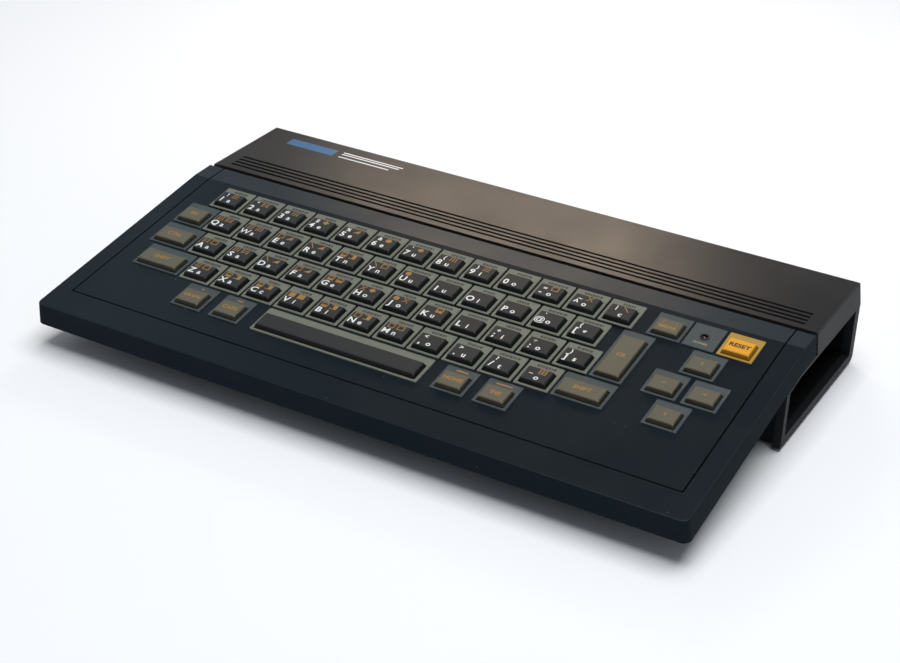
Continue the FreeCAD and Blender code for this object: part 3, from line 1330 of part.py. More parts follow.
def make_case_screws():
    """Screws that hold deck frame and rear cover to the bottom case."""
    screws = [case_screw(x, y, under_z(y) + SLAB_TRAY_RECESS + DECK_SCREW_SEAT) for x, y in DECK_SCREWS]
    screws += [case_screw(x, y, COVER_SCREW_SEAT_Z) for x, y in COVER_SCREWS]
    return Part.makeCompound(screws)


def build():
    """Every piece by its node name."""
    pieces = {
        "deck_frame": make_deck_frame(),
        "keyboard_panel": make_panel(),
        "rear_cover": make_rear_cover(),
        "bottom_case": make_bottom_case(),
        "bay_liner": make_bay_liner(),
        "cartridge_slot": make_cartridge_slot(),
        "surround_characters": make_surround_characters(),
        "surround_controls": make_surround_controls(),
        "surround_reset": make_surround_reset(),
        "lamp_ring": make_lamp_ring(),
        "power_lamp": make_power_lamp(),
        "key_mat": make_mat(),
        "contact_board": make_contact_board(),
        "keyboard_screws": make_keyboard_screws(),
        "keyboard_ribbon": make_ribbon(),
        "ribbon_socket": make_ribbon_socket(),
        "main_board": make_main_board(),
        "board_screws": make_board_screws(),
        "logic_chips": make_logic_chips(),
        "memory_chips": make_memory_chips(),
        "voltage_regulator": make_regulator(),
        "heat_sink": make_heat_sink(),
        "capacitors": make_capacitors(),
        "rf_modulator": make_modulator(),
        "joystick_ports": make_joystick_ports(),
        "din_sockets": make_din_sockets(),
        "cassette_jacks": make_cassette_jacks(),
        "power_jack": make_power_jack(),
        "power_switch": make_power_switch(),
        "power_lever": make_power_lever(),
        "rubber_feet": make_feet(),
        "case_screws": make_case_screws(),
    }
    for name, rects in character_banks().items():
        pieces[name] = make_keys(rects)
    for name, rect in control_rects().items():
        pieces[name] = make_keys([rect])
    pieces["key_space"] = make_keys([row_rect(*SPACE_PLATE)])
    pieces["key_reset"] = make_keys([row_rect(*RESET_PLATE)])
    return pieces


def main():
    """Build every piece and write it to its own file."""
    os.makedirs("parts", exist_ok=True)
    for name, shape in build().items():
        bounds = shape.BoundBox
        print("%-22s solids %d valid %s  x %.1f %.1f  y %.1f %.1f  z %.1f %.1f  vol %.0f" % (
            name, len(shape.Solids), shape.isValid(), bounds.XMin, bounds.XMax,
            bounds.YMin, bounds.YMax, bounds.ZMin, bounds.ZMax, shape.Volume,
        ))
        shape.exportStep("parts/%s.step" % name)


main()
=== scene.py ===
"""Finishes, key legends and studio for a vintage home computer, dressed over its packed solids."""

import json
import math

import bmesh
import bpy
from bpy.props import FloatProperty, FloatVectorProperty, IntProperty, PointerProperty
from bpy.types import Operator, Panel, PropertyGroup
from mathutils import Matrix, Vector


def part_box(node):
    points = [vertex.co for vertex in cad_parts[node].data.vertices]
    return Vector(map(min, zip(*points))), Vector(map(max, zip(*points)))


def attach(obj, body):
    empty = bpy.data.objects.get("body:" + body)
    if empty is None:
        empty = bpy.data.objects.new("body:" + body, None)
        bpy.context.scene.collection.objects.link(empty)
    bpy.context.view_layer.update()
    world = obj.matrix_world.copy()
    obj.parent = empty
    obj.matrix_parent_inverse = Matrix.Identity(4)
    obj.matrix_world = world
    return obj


bl_info = {
    "name": "Vintage home computer",
    "version": (1, 0, 0),
    "blender": (4, 5, 0),
    "location": "View3D > Sidebar > Home computer",
    "description": "Dresses the computer's solids: moulded plastics, key legends, marks and a plain studio",
    "category": "Object",
}

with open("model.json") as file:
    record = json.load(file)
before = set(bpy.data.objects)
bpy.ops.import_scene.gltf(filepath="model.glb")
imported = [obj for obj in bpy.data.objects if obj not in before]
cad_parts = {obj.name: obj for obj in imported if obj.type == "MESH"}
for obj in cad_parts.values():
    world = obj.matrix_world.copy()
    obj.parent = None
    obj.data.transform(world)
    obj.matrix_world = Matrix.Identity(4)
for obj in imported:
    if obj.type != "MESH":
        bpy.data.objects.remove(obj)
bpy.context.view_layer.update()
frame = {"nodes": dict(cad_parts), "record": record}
MM = 0.001

# The deck's own plane: v runs up the slope from the bend, n stands off the surface, all in millimetres
DECK_ANGLE = math.radians(8.72)
BEND_Y = 26.65
BEND_Z = 44.9
DECK_NORMAL = (0.0, -math.sin(DECK_ANGLE), math.cos(DECK_ANGLE))
ROW_TOP_V = -3.8
ROW_PITCH = 20.22
PLATE_LENGTH = 18.6
PLATE_WIDTH = 17.9
KEY_PITCH = 19.05
PLATE_TOP_N = 0.6
CAP_TOP_N = 2.75
CAP_SIDE = 2.8
CAP_FRONT = 2.5
CAP_REAR = 6.75
COVER_FRONT = (43.7, 45.3)
COVER_REAR = (103.6, 46.0)
UPWARD = (0.0, 0.0, 1.0)
RIGHT_AND_UP = (0.7, 0.0, 0.7)

# Character rows: name, row, left edge of the first plate, bank sizes, big signs, shifted signs, small letters
CHARACTER_ROWS = (
    ("number", 0, -149.8, (4, 4, 5), "1234567890-^ ", "!\"#$%&'() =~|", "aaaeeeuuioooc"),
    ("upper", 1, -139.6, (4, 4, 4), "QWERTYUIOP@[", "          `{", "aaeennuuioo*"),
    ("middle", 2, -134.3, (4, 4, 4), "ASDFGHJKL;:]", "         +*}", "aaaaeoouiios"),
    ("lower", 3, -124.7, (4, 4, 3), "ZXCVBNM,./ ", "       <>?_", "aaciienouto"),
)
BANK_PLACES = ("left", "middle", "right")

# Orange block patterns of each character key, first the left place and then the right one
BLOCKS = {
    "number": (
        ("", "rows"), ("", "ladder"), ("", "posts"), ("", "diamond"), ("", "wedge"), ("", "disc"),
        ("", "diamond"), ("", "posts"), ("", "rows"), ("", ""), ("", "frame"), ("", "saltire"), ("", "stroke"),
    ),
    "upper": (
        ("posts", "ladder"), ("rows", "posts"), ("frame", "wedge"), ("stroke", "wedge"), ("low", "side"),
        ("stroke", "frame"), ("disc", ""), ("", ""), ("", ""), ("", ""), ("", ""), ("", ""),
    ),
    "middle": (
        ("ladder", "frame"), ("posts", "ladder"), ("stroke", "wedge"), ("frame", "wedge"), ("low", "low"),
        ("saltire", "diamond"), ("disc", "saltire"), ("", "low"), ("", ""), ("", ""), ("", ""), ("", ""),
    ),
    "lower": (
        ("rows", "frame"), ("low", "side"), ("low", "side"), ("solid", "solid"), ("low", "side"),
        ("frame", "side"), ("frame", "frame"), ("", ""), ("", ""), ("", ""), ("", "window"),
    ),
}

# Other keys: row, left and right edge of the plate, rows covered, word or arrow
CONTROL_KEYS = {
    "key_function": (1, -158.7, -140.6, 1, "FN"),
    "key_control": (2, -158.7, -135.5, 1, "CTRL"),
    "key_shift_left": (3, -154.1, -126.1, 1, "SHIFT"),
    "key_shift_right": (3, 84.8, 110.8, 1, "SHIFT"),
    "key_graphics": (4, -115.0, -97.2, 1, "GRAPH"),
    "key_alphabet": (4, -92.2, -74.8, 1, "CAPS"),
    "key_home": (4, 33.2, 50.5, 1, "HOME"),
    "key_insert": (4, 55.4, 72.9, 1, "INS"),
    "key_return": (1, 94.3, 110.8, 2, "CR"),
    "key_break": (0, 104.0, 121.4, 1, "BREAK"),
    "key_up": (1, 130.0, 147.3, 1, "up"),
    "key_left": (2, 120.2, 137.6, 1, "left"),
    "key_right": (2, 139.9, 157.3, 1, "right"),
    "key_down": (3, 130.0, 147.3, 1, "down"),
    "key_reset": (0, 139.9, 157.6, 1, "RESET"),
}
LAMP_CENTRE = (130.4, -13.1)
LAMP_WORD_DROP = 6.0
LAMP_WORD_HEIGHT = 1.5
LAMP_WORD_WEIGHT = 0.05

# Signs on a character cap: the middle of a sign's foot from the left front corner of the cap's flat top,
# and sizes. Weights are shares of the look's extra stroke width
BIG_PLACE = (2.2, 1.05)
SHIFTED_PLACE = (3.2, 6.1)
SMALL_PLACE = (6.9, 1.05)
SHIFTED_HEIGHT = 2.7
LOWERED_SIGNS = "=~+*_"
LOWERED_BY = 1.1
DENSE_SIGNS = "MW@"
DENSE_WEIGHT = 0.3
LIGHT_WEIGHT = 0.7
CAPITAL_SHARE = 0.73

# Orange blocks on a character cap: left edge and width of both places, and their foot and height
BLOCK_PLACES = ((1.1, 3.5), (6.2, 3.8))
BLOCK_FOOT = 5.55
BLOCK_HEIGHT = 3.5

# Words and arrows on the other caps: shifts from the cap's middle, and shares of the look's sizes
WORD_RAISE = 0.4
ARROW_RAISE = 0.6
BREAK_DROP = 1.2
WORD_WEIGHT = 0.8
BOLD_SHARE = 1.1
NARROW_CAP = 13
NARROW_SHARE = 0.86

# Rows of dashes on the light plates, painted shadow strips in the gaps between the plates, and bars on four
# blue-grey plates
DASH_ROWS = (7.4, 9.2, 6.4, 10.2, 8.2, 10.8, 5.8, 9.6, 7.0)
DASH_WIDTHS = (1.0, 0.7, 1.25)
DASH_GAP = 0.4
DASH_SHIFT = 0.4
DASH_BAND = (3.3, 1.7)
SIDE_GAP_SHADOW = (0.15, 1.0)
FRONT_GAP_SHADOW = (1.45, 0.17)
PLATE_MARKS = (("key_home", 3.1), ("key_insert", 4.2), ("key_graphics", 0.6), ("key_alphabet", 1.6))
MARK_BAND = (3.0, 2.0)

# Rear cover: edges of the blue bar, then the front edge and right end of each white line
COVER_BAR = (-157.0, -126.5, 87.0, 94.5)
COVER_LINES = ((93.4, -84.0), (91.2, -85.5), (87.6, -90.0))
LINES_LEFT = -122.5
LINE_WIDTH = 1.1

# Springs of the bay's connector: along it from its outer end, and off its middle plane
SPRING_PATH = ((-6.0, 1.05), (-4.2, 0.95), (-2.6, 0.55), (-1.4, 0.7), (-0.5, 1.15))
SPRING_HALF_WIDTH = 0.55
SPRING_THICKNESS = 0.12
SPRING_MARGIN = 4.2

# Masks by the cosine between a face and the facing direction: two limits, and the mask's value at each
# The two edge masks place painted highlight on narrow edges, the side mask painted shade, the top mask painted
# sheen
PAINTED_HIGHLIGHT_RISE = (0.68, 0.82, 0.0, 1.0)
PAINTED_HIGHLIGHT_FALL = (0.93, 0.995, 1.0, 0.0)
SIDE_FALL = (0.6, 0.76, 1.0, 0.0)
PAINTED_SHEEN_RISE = (0.992, 0.996, 0.0, 1.0)

# Parts that the finishes share
TONE_LIMITS = (0.25, 0.75)
NOISE_ROUGHNESS = 0.55
BUMP_STRENGTH = 0.5
COAT_ROUGHNESS = 0.15
DUST_CELL = 5.0
DUST_COVER = 0.4
SPECK_SIZE = 0.07
TRACE_PITCH = 9
TRACE_WIDTH = 0.06
TRACE_LIGHT = 1.9
WIRE_PITCH = 8
WIRE_SHARE = 0.5
WIRE_DARK = 0.45

# Sockets of a mix node that mixes colours
MIX_FACTOR, MIX_FIRST, MIX_SECOND, MIX_RESULT = 0, 6, 7, 2

# Plates and caps: slot or node, material, colour, roughness, level, tone and share of the painted highlight on
# the edges, tone of the painted shade on the sides
KEY_FINISHES = (
    ("plate_light", "plate_light_plastic", "plate_light", 0.46, 0.3, 1.8, 0.9, None),
    ("plate_blue", "plate_blue_plastic", "plate_blue", 0.46, 0.25, 1.8, 0.9, None),
    # Painted shade: the reset plate's yellow is a darker copy of the cap's yellow
    ("surround_reset", "reset_plate_plastic", "reset_plate_painted_shade", 0.46, 0.3, 1.4, 0.8, 0.4),
    ("key_reset", "reset_cap_plastic", "cap_reset", 0.4, 0.35, 1.3, 0.8, 0.45),
    ("cap_dark", "cap_dark_plastic", "cap_dark", 0.4, 0.25, 2.4, 0.8, 0.3),
    ("cap_taupe", "cap_taupe_plastic", "cap_taupe", 0.42, 0.3, 1.8, 0.9, 0.35),
)

# Inks: colour, roughness, grain, mottle, tone and level
INKS = {
    "white_ink": ("white", 0.5, 0.3, 6.0, 0.05, 0.5),
    "orange_ink": ("orange", 0.5, 0.3, 5.0, 0.1, 0.5),
    "black_ink": ("black", 0.5, 0.3, 6.0, 0.1, 0.5),
    "bar_ink": ("bar", 0.55, 0.3, 4.0, 0.14, 0.5),
    # Painted shadow in the gaps between the plates
    "joint_black": ("joint", 0.8, 0.3, 4.0, 0.08, 0.05),
    "pale_ink": ("pale", 0.5, 0.3, 4.0, 0.1, 0.5),
    "blue_ink": ("blue", 0.4, 0.4, 8.0, 0.08, 0.5),
}
INK_DEPTH = 0.004

# Studio in metres. Lamps: name, place, target, width and height, power and colour
LAMPS = (
    ("top_lamp", (0.25, 0.0, 1.75), (0.1, 0.0, 0.0), (1.6, 1.3), "top_power", (1.0, 0.99, 0.975)),
    ("back_lamp", (-0.26, 0.56, 0.38), (0.02, 0.06, 0.03), (0.3, 0.1), "back_power", (1.0, 0.78, 0.58)),
    ("left_lamp", (-1.05, 0.72, 0.95), (-0.1, 0.0, 0.03), (0.4, 0.4), "left_power", (0.72, 0.88, 1.0)),
)
FLOOR_SIZE = 6.0
FLOOR_SQUARES = 8
FLOOR_FADE = (0.45, 1.1, 0.0, 1.0)
SKY_FALL = (0.06, 0.5, 1.0, 0.05)
AMBIENT_COLOUR = (0.86, 0.93, 1.0, 1.0)
CAMERA_PLACE = (0.392526, -0.702715, 0.462856)
CAMERA_RIGHT = (0.865196, 0.500553, 0.029698)
CAMERA_UP = (-0.26685, 0.40948, 0.87242)
CAMERA_AHEAD = (-0.424532, 0.762739, -0.487854)
SENSOR_WIDTH = 36.0


def linear(red, green, blue):
    """Scene colour of a display colour given from 0 to 255."""
    values = []
    for value in (red, green, blue):
        share = value / 255
        values.append(share / 12.92 if share <= 0.04045 else ((share + 0.055) / 1.055) ** 2.4)
    return tuple(values)


def colour_property(name, description, red, green, blue):
    """A colour that a user may change."""
    return FloatVectorProperty(
        name=name, description=description, subtype="COLOR", size=3, min=0.0, max=1.0,
        default=linear(red, green, blue),
    )


def length_property(name, description, default, low=0.0, high=100.0):
    """A length in millimetres that a user may change."""
    return FloatProperty(
        name=name, description=description + ", in millimetres", default=default, min=low, max=high
    )


def power_property(name, description, default):
    """A lamp's power that a user may change."""
    return FloatProperty(name=name, description=description, default=default, min=0.0, unit="POWER")


class HousingLook(PropertyGroup):
    """Colours and grain of the housing."""

    deck: colour_property("Deck", "Blue-black plastic of the front deck", 18, 28, 35)
    # Painted sheen: a lighter copy of the deck colour on the level strip behind the bend, standing in for the
    # sheen it catches
    facet_painted_sheen: colour_property("Facet", "Lighter strip of the deck behind the bend", 42, 50, 56)
    cover: colour_property("Rear cover", "Black plastic of the rear cover", 33, 33, 34)
    case: colour_property("Bottom case", "Near-black plastic of the bottom case", 22, 24, 28)
    # Painted shade: darker than the case plastic, standing in for the shade inside the bay
    bay: colour_property("Bay", "Black plastic inside the cartridge bay", 9, 10, 12)
    # Painted highlight: the lighter tone along moulded edges stands in for the light that their fillets catch
    edge: colour_property("Moulded edge", "Lighter tone along moulded edges", 66, 76, 84)
    dust: colour_property("Dust", "Fine dust lying on the surface", 120, 124, 124)
    grain: length_property("Grain", "Size of the moulded grain", 0.55, 0.05, 5.0)
    mottle: length_property("Mottle", "Size of the slow tone changes", 38.0, 1.0, 300.0)
    grain_depth: length_property("Grain depth", "Depth of the moulded grain", 0.02, 0.0, 1.0)


class KeyLook(PropertyGroup):
    """Colours of plates and caps."""

    plate_light: colour_property("Light plate", "Plates around the character keys", 108, 112, 102)
    plate_blue: colour_property("Blue-grey plate", "Plates around the other keys", 66, 74, 77)
    # Painted shade: a darker, duller copy of the cap's yellow, standing in for the shade on the reset plate
    reset_plate_painted_shade: colour_property("Reset plate", "Yellow plate of the reset key", 168, 134, 62)
    cap_reset: colour_property("Reset cap", "Yellow cap of the reset key", 222, 156, 34)
    cap_dark: colour_property("Dark cap", "Caps of the character keys and the space bar", 39, 42, 44)
    cap_taupe: colour_property("Taupe cap", "Caps of the other keys", 92, 89, 75)
    grain: length_property("Grain", "Size of the satin grain", 0.35, 0.05, 5.0)


class PrintLook(PropertyGroup):
    """Sizes and inks of the legends."""

    big: length_property("Big sign", "Height of the big sign on a cap", 4.0, 0.5, 10.0)
    small: length_property("Small letter", "Text size of the small letter on a cap", 4.6, 0.5, 10.0)
    word: length_property("Word", "Height of a word on a cap", 2.6, 0.5, 10.0)
    weight: length_property("Weight", "Extra stroke width of the signs", 0.13, 0.0, 1.0)
    thickness: length_property("Ink thickness", "Thickness of the printed ink", 0.03, 0.005, 0.5)
    white: colour_property("White ink", "Signs on the dark caps", 226, 228, 228)
    orange: colour_property("Orange ink", "Blocks on the caps and words on the taupe caps", 150, 112, 46)
    pale: colour_property("Pale ink", "Word under the lamp", 150, 142, 98)
    black: colour_property("Black ink", "Word on the yellow cap", 34, 30, 24)
    bar: colour_property("Bar ink", "Rows of small dashes on the light plates", 44, 44, 38)
    # Painted shadow: near-black strips on the panel's ribs stand in for the shade in the gaps between the
    # plates
    joint: colour_property("Joint", "Dark joints between the plates", 6, 7, 9)
    blue: colour_property("Blue mark", "Plain bar on the rear cover", 32, 94, 144)


class InsideLook(PropertyGroup):
    """Colours of the boards and of the bay's springs, and how many springs there are."""

    board: colour_property("Board", "Green coat of the printed boards", 34, 92, 58)
    contact: colour_property("Contact", "Gilded springs of the bay's connector", 205, 164, 92)
    contacts: IntProperty(
        name="Contacts", description="Springs on each side of the connector", default=20, min=1, max=60
    )


class StudioLook(PropertyGroup):
    """Floor, lens, lamps and even light."""

    floor: colour_property("Floor", "Pale floor", 247, 250, 255)
    lens: FloatProperty(
        name="Lens", description="Focal length at a 36 mm sensor", default=73.61, min=10.0, max=300.0
    )
    top_power: power_property("Top lamp", "Power of the wide lamp above", 30.0)
    back_power: power_property("Back lamp", "Power of the warm lamp behind", 0.72)
    left_power: power_property("Left lamp", "Power of the cool lamp on the left", 0.8)
    ambient: FloatProperty(
        name="Ambient", description="Strength of the even light all round", default=0.24, min=0.0, max=5.0
    )


def add_object(name, data):
    """A new object in the scene."""
    item = bpy.data.objects.new(name, data)
    bpy.context.scene.collection.objects.link(item)
    return item


def add_mesh(shape, name, material):
    """A new object in the scene from a bmesh, which is freed, with one material."""
    mesh = bpy.data.meshes.new(name)
    shape.to_mesh(mesh)
    shape.free()
    mesh.materials.append(material)
    return add_object(name, mesh)


def deck_point(x, v, n):
    """Place on the deck in metres."""
    cos, sin = math.cos(DECK_ANGLE), math.sin(DECK_ANGLE)
    return Vector((x, BEND_Y + v * cos - n * sin, BEND_Z + v * sin + n * cos)) * MM


def cover_point(x, y, n):
    """Place on the rear cover's top in metres."""
    slope = (COVER_REAR[1] - COVER_FRONT[1]) / (COVER_REAR[0] - COVER_FRONT[0])
    return Vector((x, y, COVER_FRONT[1] + (y - COVER_FRONT[0]) * slope + n)) * MM


def plate_rect(row, x0, x1, rows=1):
    """Plate of a key as left, right, front and rear edge."""
    top = ROW_TOP_V - ROW_PITCH * row
    return (x0, x1, top - PLATE_LENGTH - ROW_PITCH * (rows - 1), top)


def cap_rect(plate):
    """Flat top of the cap that stands in a plate."""
    x0, x1, v0, v1 = plate
    return (x0 + CAP_SIDE, x1 - CAP_SIDE, v0 + CAP_FRONT, v1 - CAP_REAR)


def character_plates():
    """Every character key as bank name, row name, place in the row and plate."""
    for name, row, left, sizes, *_signs in CHARACTER_ROWS:
        column = 0
        for place, size in zip(BANK_PLACES, sizes):
            for index in range(column, column + size):
                x0 = left + KEY_PITCH * index
                yield "keys_%s_%s" % (name, place), name, index, plate_rect(row, x0, x0 + PLATE_WIDTH)
            column += size


class Print:
    """Flat ink shapes gathered on one surface, made into one thin solid."""

    outlines = {}
    lift = 0.006
    curve_steps = 3

    def __init__(self, to_world, top_n):
        self.to_world = to_world
        self.top_n = top_n
        self.points = []
        self.faces = []

    def add(self, points, faces):
        """Takes in points and the faces between them."""
        start = len(self.points)
        self.points += points
        self.faces += [[start + index for index in face] for face in faces]

    def polygon(self, corners):
        """A filled shape with its corners in order."""
        self.add(list(corners), [list(range(len(corners)))])

    def bar(self, x0, x1, v0, v1):
        """A filled rectangle."""
        self.polygon([(x0, v0), (x1, v0), (x1, v1), (x0, v1)])

    def text(self, words, x, v, size, weight):
        """Words in the built-in face, centred on x, standing on v."""
        points, faces = self.outline(words, size, weight)
        self.add([(px + x, pv + v) for px, pv in points], faces)

    @classmethod
    def outline(cls, words, size, weight):
        """Points and faces of words in the built-in face, made once for each size and weight."""
        key = (words, round(size, 3), round(weight, 3))
        if key not in cls.outlines:
            curve = bpy.data.curves.new("outline", "FONT")
            curve.body = words
            curve.size = size
            curve.offset = weight
            curve.align_x = "CENTER"
            curve.resolution_u = cls.curve_steps
            holder = add_object("outline", curve)
            bpy.context.view_layer.update()
            graph = bpy.context.evaluated_depsgraph_get()
            mesh = bpy.data.meshes.new_from_object(holder.evaluated_get(graph))
            points = [(vertex.co.x, vertex.co.y) for vertex in mesh.vertices]
            faces = [list(face.vertices) for face in mesh.polygons]
            bpy.data.objects.remove(holder)
            bpy.data.curves.remove(curve)
            bpy.data.meshes.remove(mesh)
            if not faces:
                raise RuntimeError("the built-in face has no sign for %r" % words)
            cls.outlines[key] = (points, faces)
        return cls.outlines[key]

    def build(self, name, material, body, thickness):
        """The thin solid, riding on its body."""
        shape = bmesh.new()
        foot = [shape.verts.new(self.to_world(x, v, self.top_n + self.lift)) for x, v in self.points]
        for face in self.faces:
            try:
                shape.faces.new([foot[index] for index in face])
            except ValueError as error:
                raise RuntimeError("%s: a shape is drawn twice" % name) from error
        bmesh.ops.recalc_face_normals(shape, faces=shape.faces)
        up = self.to_world(0, 0, 1) - self.to_world(0, 0, 0)
        for face in shape.faces:
            if face.normal.dot(up) < 0:
                face.normal_flip()
        raised = bmesh.ops.extrude_face_region(shape, geom=list(shape.faces))
        verts = [item for item in raised["geom"] if isinstance(item, bmesh.types.BMVert)]
        bmesh.ops.translate(shape, verts=verts, vec=up * thickness)
        piece = add_mesh(shape, name, material)
        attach(piece, body)


def block_shapes(pattern):
    """Corners of each shape of an orange block, in a cell from 0 to 1."""
    line = 0.13

    def strip(x0, y0, x1, y1):
        return [(x0, y0), (x1, y0), (x1, y1), (x0, y1)]

    border = [
        strip(0, 0, 1, line), strip(0, 1 - line, 1, 1), strip(0, line, line, 1 - line),
        strip(1 - line, line, 1, 1 - line),
    ]
    radius, corners = 0.45, 14
    turns = [math.tau * corner / corners for corner in range(corners)]
    disc = [(0.5 + radius * math.cos(turn), 0.5 + radius * math.sin(turn)) for turn in turns]
    shapes = {
        "frame": border,
        "solid": [strip(0, 0, 1, 1)],
        "low": border[1:] + [strip(0, 0, 1, 0.5)],
        "side": [strip(0.45, 0, 1, 1), strip(0, 0, 0.45, line), strip(0, 1 - line, 0.45, 1)],
        "wedge": [[(0.05, 0.1), (0.95, 0.1), (0.95, 0.95)]],
        "diamond": [[(0.5, 0), (1, 0.5), (0.5, 1), (0, 0.5)]],
        "disc": [disc],
        "rows": [strip(0, y, 1, y + line) for y in (0.05, 0.43, 0.82)],
        "posts": [strip(x, 0, x + line, 1) for x in (0.05, 0.43, 0.82)],
        "ladder": [strip(0, 0, line, 1), strip(1 - line, 0, 1, 1)]
        + [strip(line, y, 1 - line, y + line) for y in (0.2, 0.65)],
        "saltire": [[(0, 0), (0.18, 0), (1, 1), (0.82, 1)], [(0.82, 0), (1, 0), (0.62, 0.42), (0.5, 0.39)],
                    [(0.38, 0.58), (0.5, 0.61), (0.18, 1), (0, 1)]],
        "stroke": [[(0.82, 0), (1, 0), (0.18, 1), (0, 1)]],
        "window": border + [strip(0.44, line, 0.56, 1 - line), strip(line, 0.44, 0.44, 0.56),
                            strip(0.56, 0.44, 1 - line, 0.56)],
    }
    return shapes[pattern]


def arrow_shapes(direction):
    """Corners of an arrow about its middle, in millimetres."""
    shaft = [(-0.22, -1.2), (0.22, -1.2), (0.22, 0.3), (-0.22, 0.3)]
    head = [(-0.8, 0.3), (0.8, 0.3), (0.0, 1.3)]
    turns = {"up": 0, "left": 90, "down": 180, "right": 270}
    angle = math.radians(turns[direction])
    cos, sin = math.cos(angle), math.sin(angle)
    return [[(x * cos - y * sin, x * sin + y * cos) for x, y in shape] for shape in (shaft, head)]


def node_group(name, inputs, outputs):
    """An empty shader group with its named sockets."""
    tree = bpy.data.node_groups.new(name, "ShaderNodeTree")
    for socket_name, kind, default in inputs:
        socket = tree.interface.new_socket(name=socket_name, in_out="INPUT", socket_type=kind)
        socket.default_value = default
    for socket_name, kind in outputs:
        tree.interface.new_socket(name=socket_name, in_out="OUTPUT", socket_type=kind)
    return tree, tree.nodes.new("NodeGroupInput"), tree.nodes.new("NodeGroupOutput")


def put(tree, value, socket):
    """Links another socket to an input, or gives the input a plain value."""
    if isinstance(value, bpy.types.NodeSocket):
        tree.links.new(value, socket)
    else:
        socket.default_value = value


def maths(tree, operation, *values):
    """A maths node on numbers or sockets."""
    node = tree.nodes.new("ShaderNodeMath")
    node.operation = operation
    for value, socket in zip(values, node.inputs):
        put(tree, value, socket)
    return node.outputs[0]


def mapped(tree, value, limits, kind="SMOOTHSTEP"):
    """A socket's value between two limits, mapped onto two new values."""
    node = tree.nodes.new("ShaderNodeMapRange")
    node.interpolation_type = kind
    for name, limit in zip(("From Min", "From Max", "To Min", "To Max"), limits):
        node.inputs[name].default_value = limit
    put(tree, value, node.inputs["Value"])
    return node.outputs["Result"]


def object_place(tree):
    """Place on the object, the only one that the textures use."""
    return tree.nodes.new("ShaderNodeTexCoord").outputs["Object"]


def per_metre(tree, size):
    """Texture scale from a size in millimetres."""
    return maths(tree, "DIVIDE", 1000.0, size)


def grain_group():
    """Moulded grain: a fine height and a slow tone."""
    name = "Moulded grain"
    if name in bpy.data.node_groups:
        return bpy.data.node_groups[name]
    tree, source, target = node_group(
        name,
        (("Grain", "NodeSocketFloat", 0.5), ("Mottle", "NodeSocketFloat", 30.0)),
        (("Height", "NodeSocketFloat"), ("Tone", "NodeSocketFloat")),
    )
    place = object_place(tree)
    for size, detail, result in (("Grain", 2.0, "Height"), ("Mottle", 4.0, "Tone")):
        noise = tree.nodes.new("ShaderNodeTexNoise")
        noise.inputs["Detail"].default_value = detail
        noise.inputs["Roughness"].default_value = NOISE_ROUGHNESS
        put(tree, place, noise.inputs["Vector"])
        put(tree, per_metre(tree, source.outputs[size]), noise.inputs["Scale"])
        put(tree, noise.outputs["Fac"], target.inputs[result])
    return tree


def edge_group():
    """Masks by how a face leans from a direction: narrow edges, sides, and faces square to it, on which the
    finishes paint highlight, shade and sheen.
    """
    name = "Edge light"
    if name in bpy.data.node_groups:
        return bpy.data.node_groups[name]
    tree, source, target = node_group(
        name,
        (("Facing", "NodeSocketVector", DECK_NORMAL),),
        (("Mask", "NodeSocketFloat"), ("Side", "NodeSocketFloat"), ("Top", "NodeSocketFloat")),
    )
    shape = tree.nodes.new("ShaderNodeNewGeometry")
    dot = tree.nodes.new("ShaderNodeVectorMath")
    dot.operation = "DOT_PRODUCT"
    put(tree, shape.outputs["True Normal"], dot.inputs[0])
    put(tree, source.outputs["Facing"], dot.inputs[1])
    rise, fall, side, top = (
        mapped(tree, dot.outputs["Value"], limits) for limits in (PAINTED_HIGHLIGHT_RISE, PAINTED_HIGHLIGHT_FALL, SIDE_FALL, PAINTED_SHEEN_RISE)
    )
    put(tree, maths(tree, "MULTIPLY", rise, fall), target.inputs["Mask"])
    put(tree, side, target.inputs["Side"])
    put(tree, top, target.inputs["Top"])
    return tree


def dust_group():
    """Dust: a mask of scattered specks."""
    name = "Dust specks"
    if name in bpy.data.node_groups:
        return bpy.data.node_groups[name]
    tree, source, target = node_group(
        name,
        (("Cell", "NodeSocketFloat", 4.0), ("Share", "NodeSocketFloat", 0.2)),
        (("Mask", "NodeSocketFloat"),),
    )
    cells = tree.nodes.new("ShaderNodeTexVoronoi")
    put(tree, object_place(tree), cells.inputs["Vector"])
    put(tree, per_metre(tree, source.outputs["Cell"]), cells.inputs["Scale"])
    near = maths(tree, "LESS_THAN", cells.outputs["Distance"], SPECK_SIZE)
    parts = tree.nodes.new("ShaderNodeSeparateColor")
    put(tree, cells.outputs["Color"], parts.inputs[0])
    chosen = maths(tree, "LESS_THAN", parts.outputs[0], source.outputs["Share"])
    put(tree, maths(tree, "MULTIPLY", near, chosen), target.inputs["Mask"])
    return tree


def place_group(tree, group, **values):
    """A group node with its inputs set."""
    node = tree.nodes.new("ShaderNodeGroup")
    node.node_tree = group
    for name, value in values.items():
        node.inputs[name].default_value = value
    return node


def shade(colour, factor):
    """A colour made lighter or darker, with alpha."""
    return tuple(min(1.0, max(0.0, value * factor)) for value in colour[:3]) + (1.0,)


def mix_colours(tree, factor, first, second):
    """Mixes two colours or sockets by a socket."""
    node = tree.nodes.new("ShaderNodeMix")
    node.data_type = "RGBA"
    for value, index in ((factor, MIX_FACTOR), (first, MIX_FIRST), (second, MIX_SECOND)):
        put(tree, value, node.inputs[index])
    return node.outputs[MIX_RESULT]


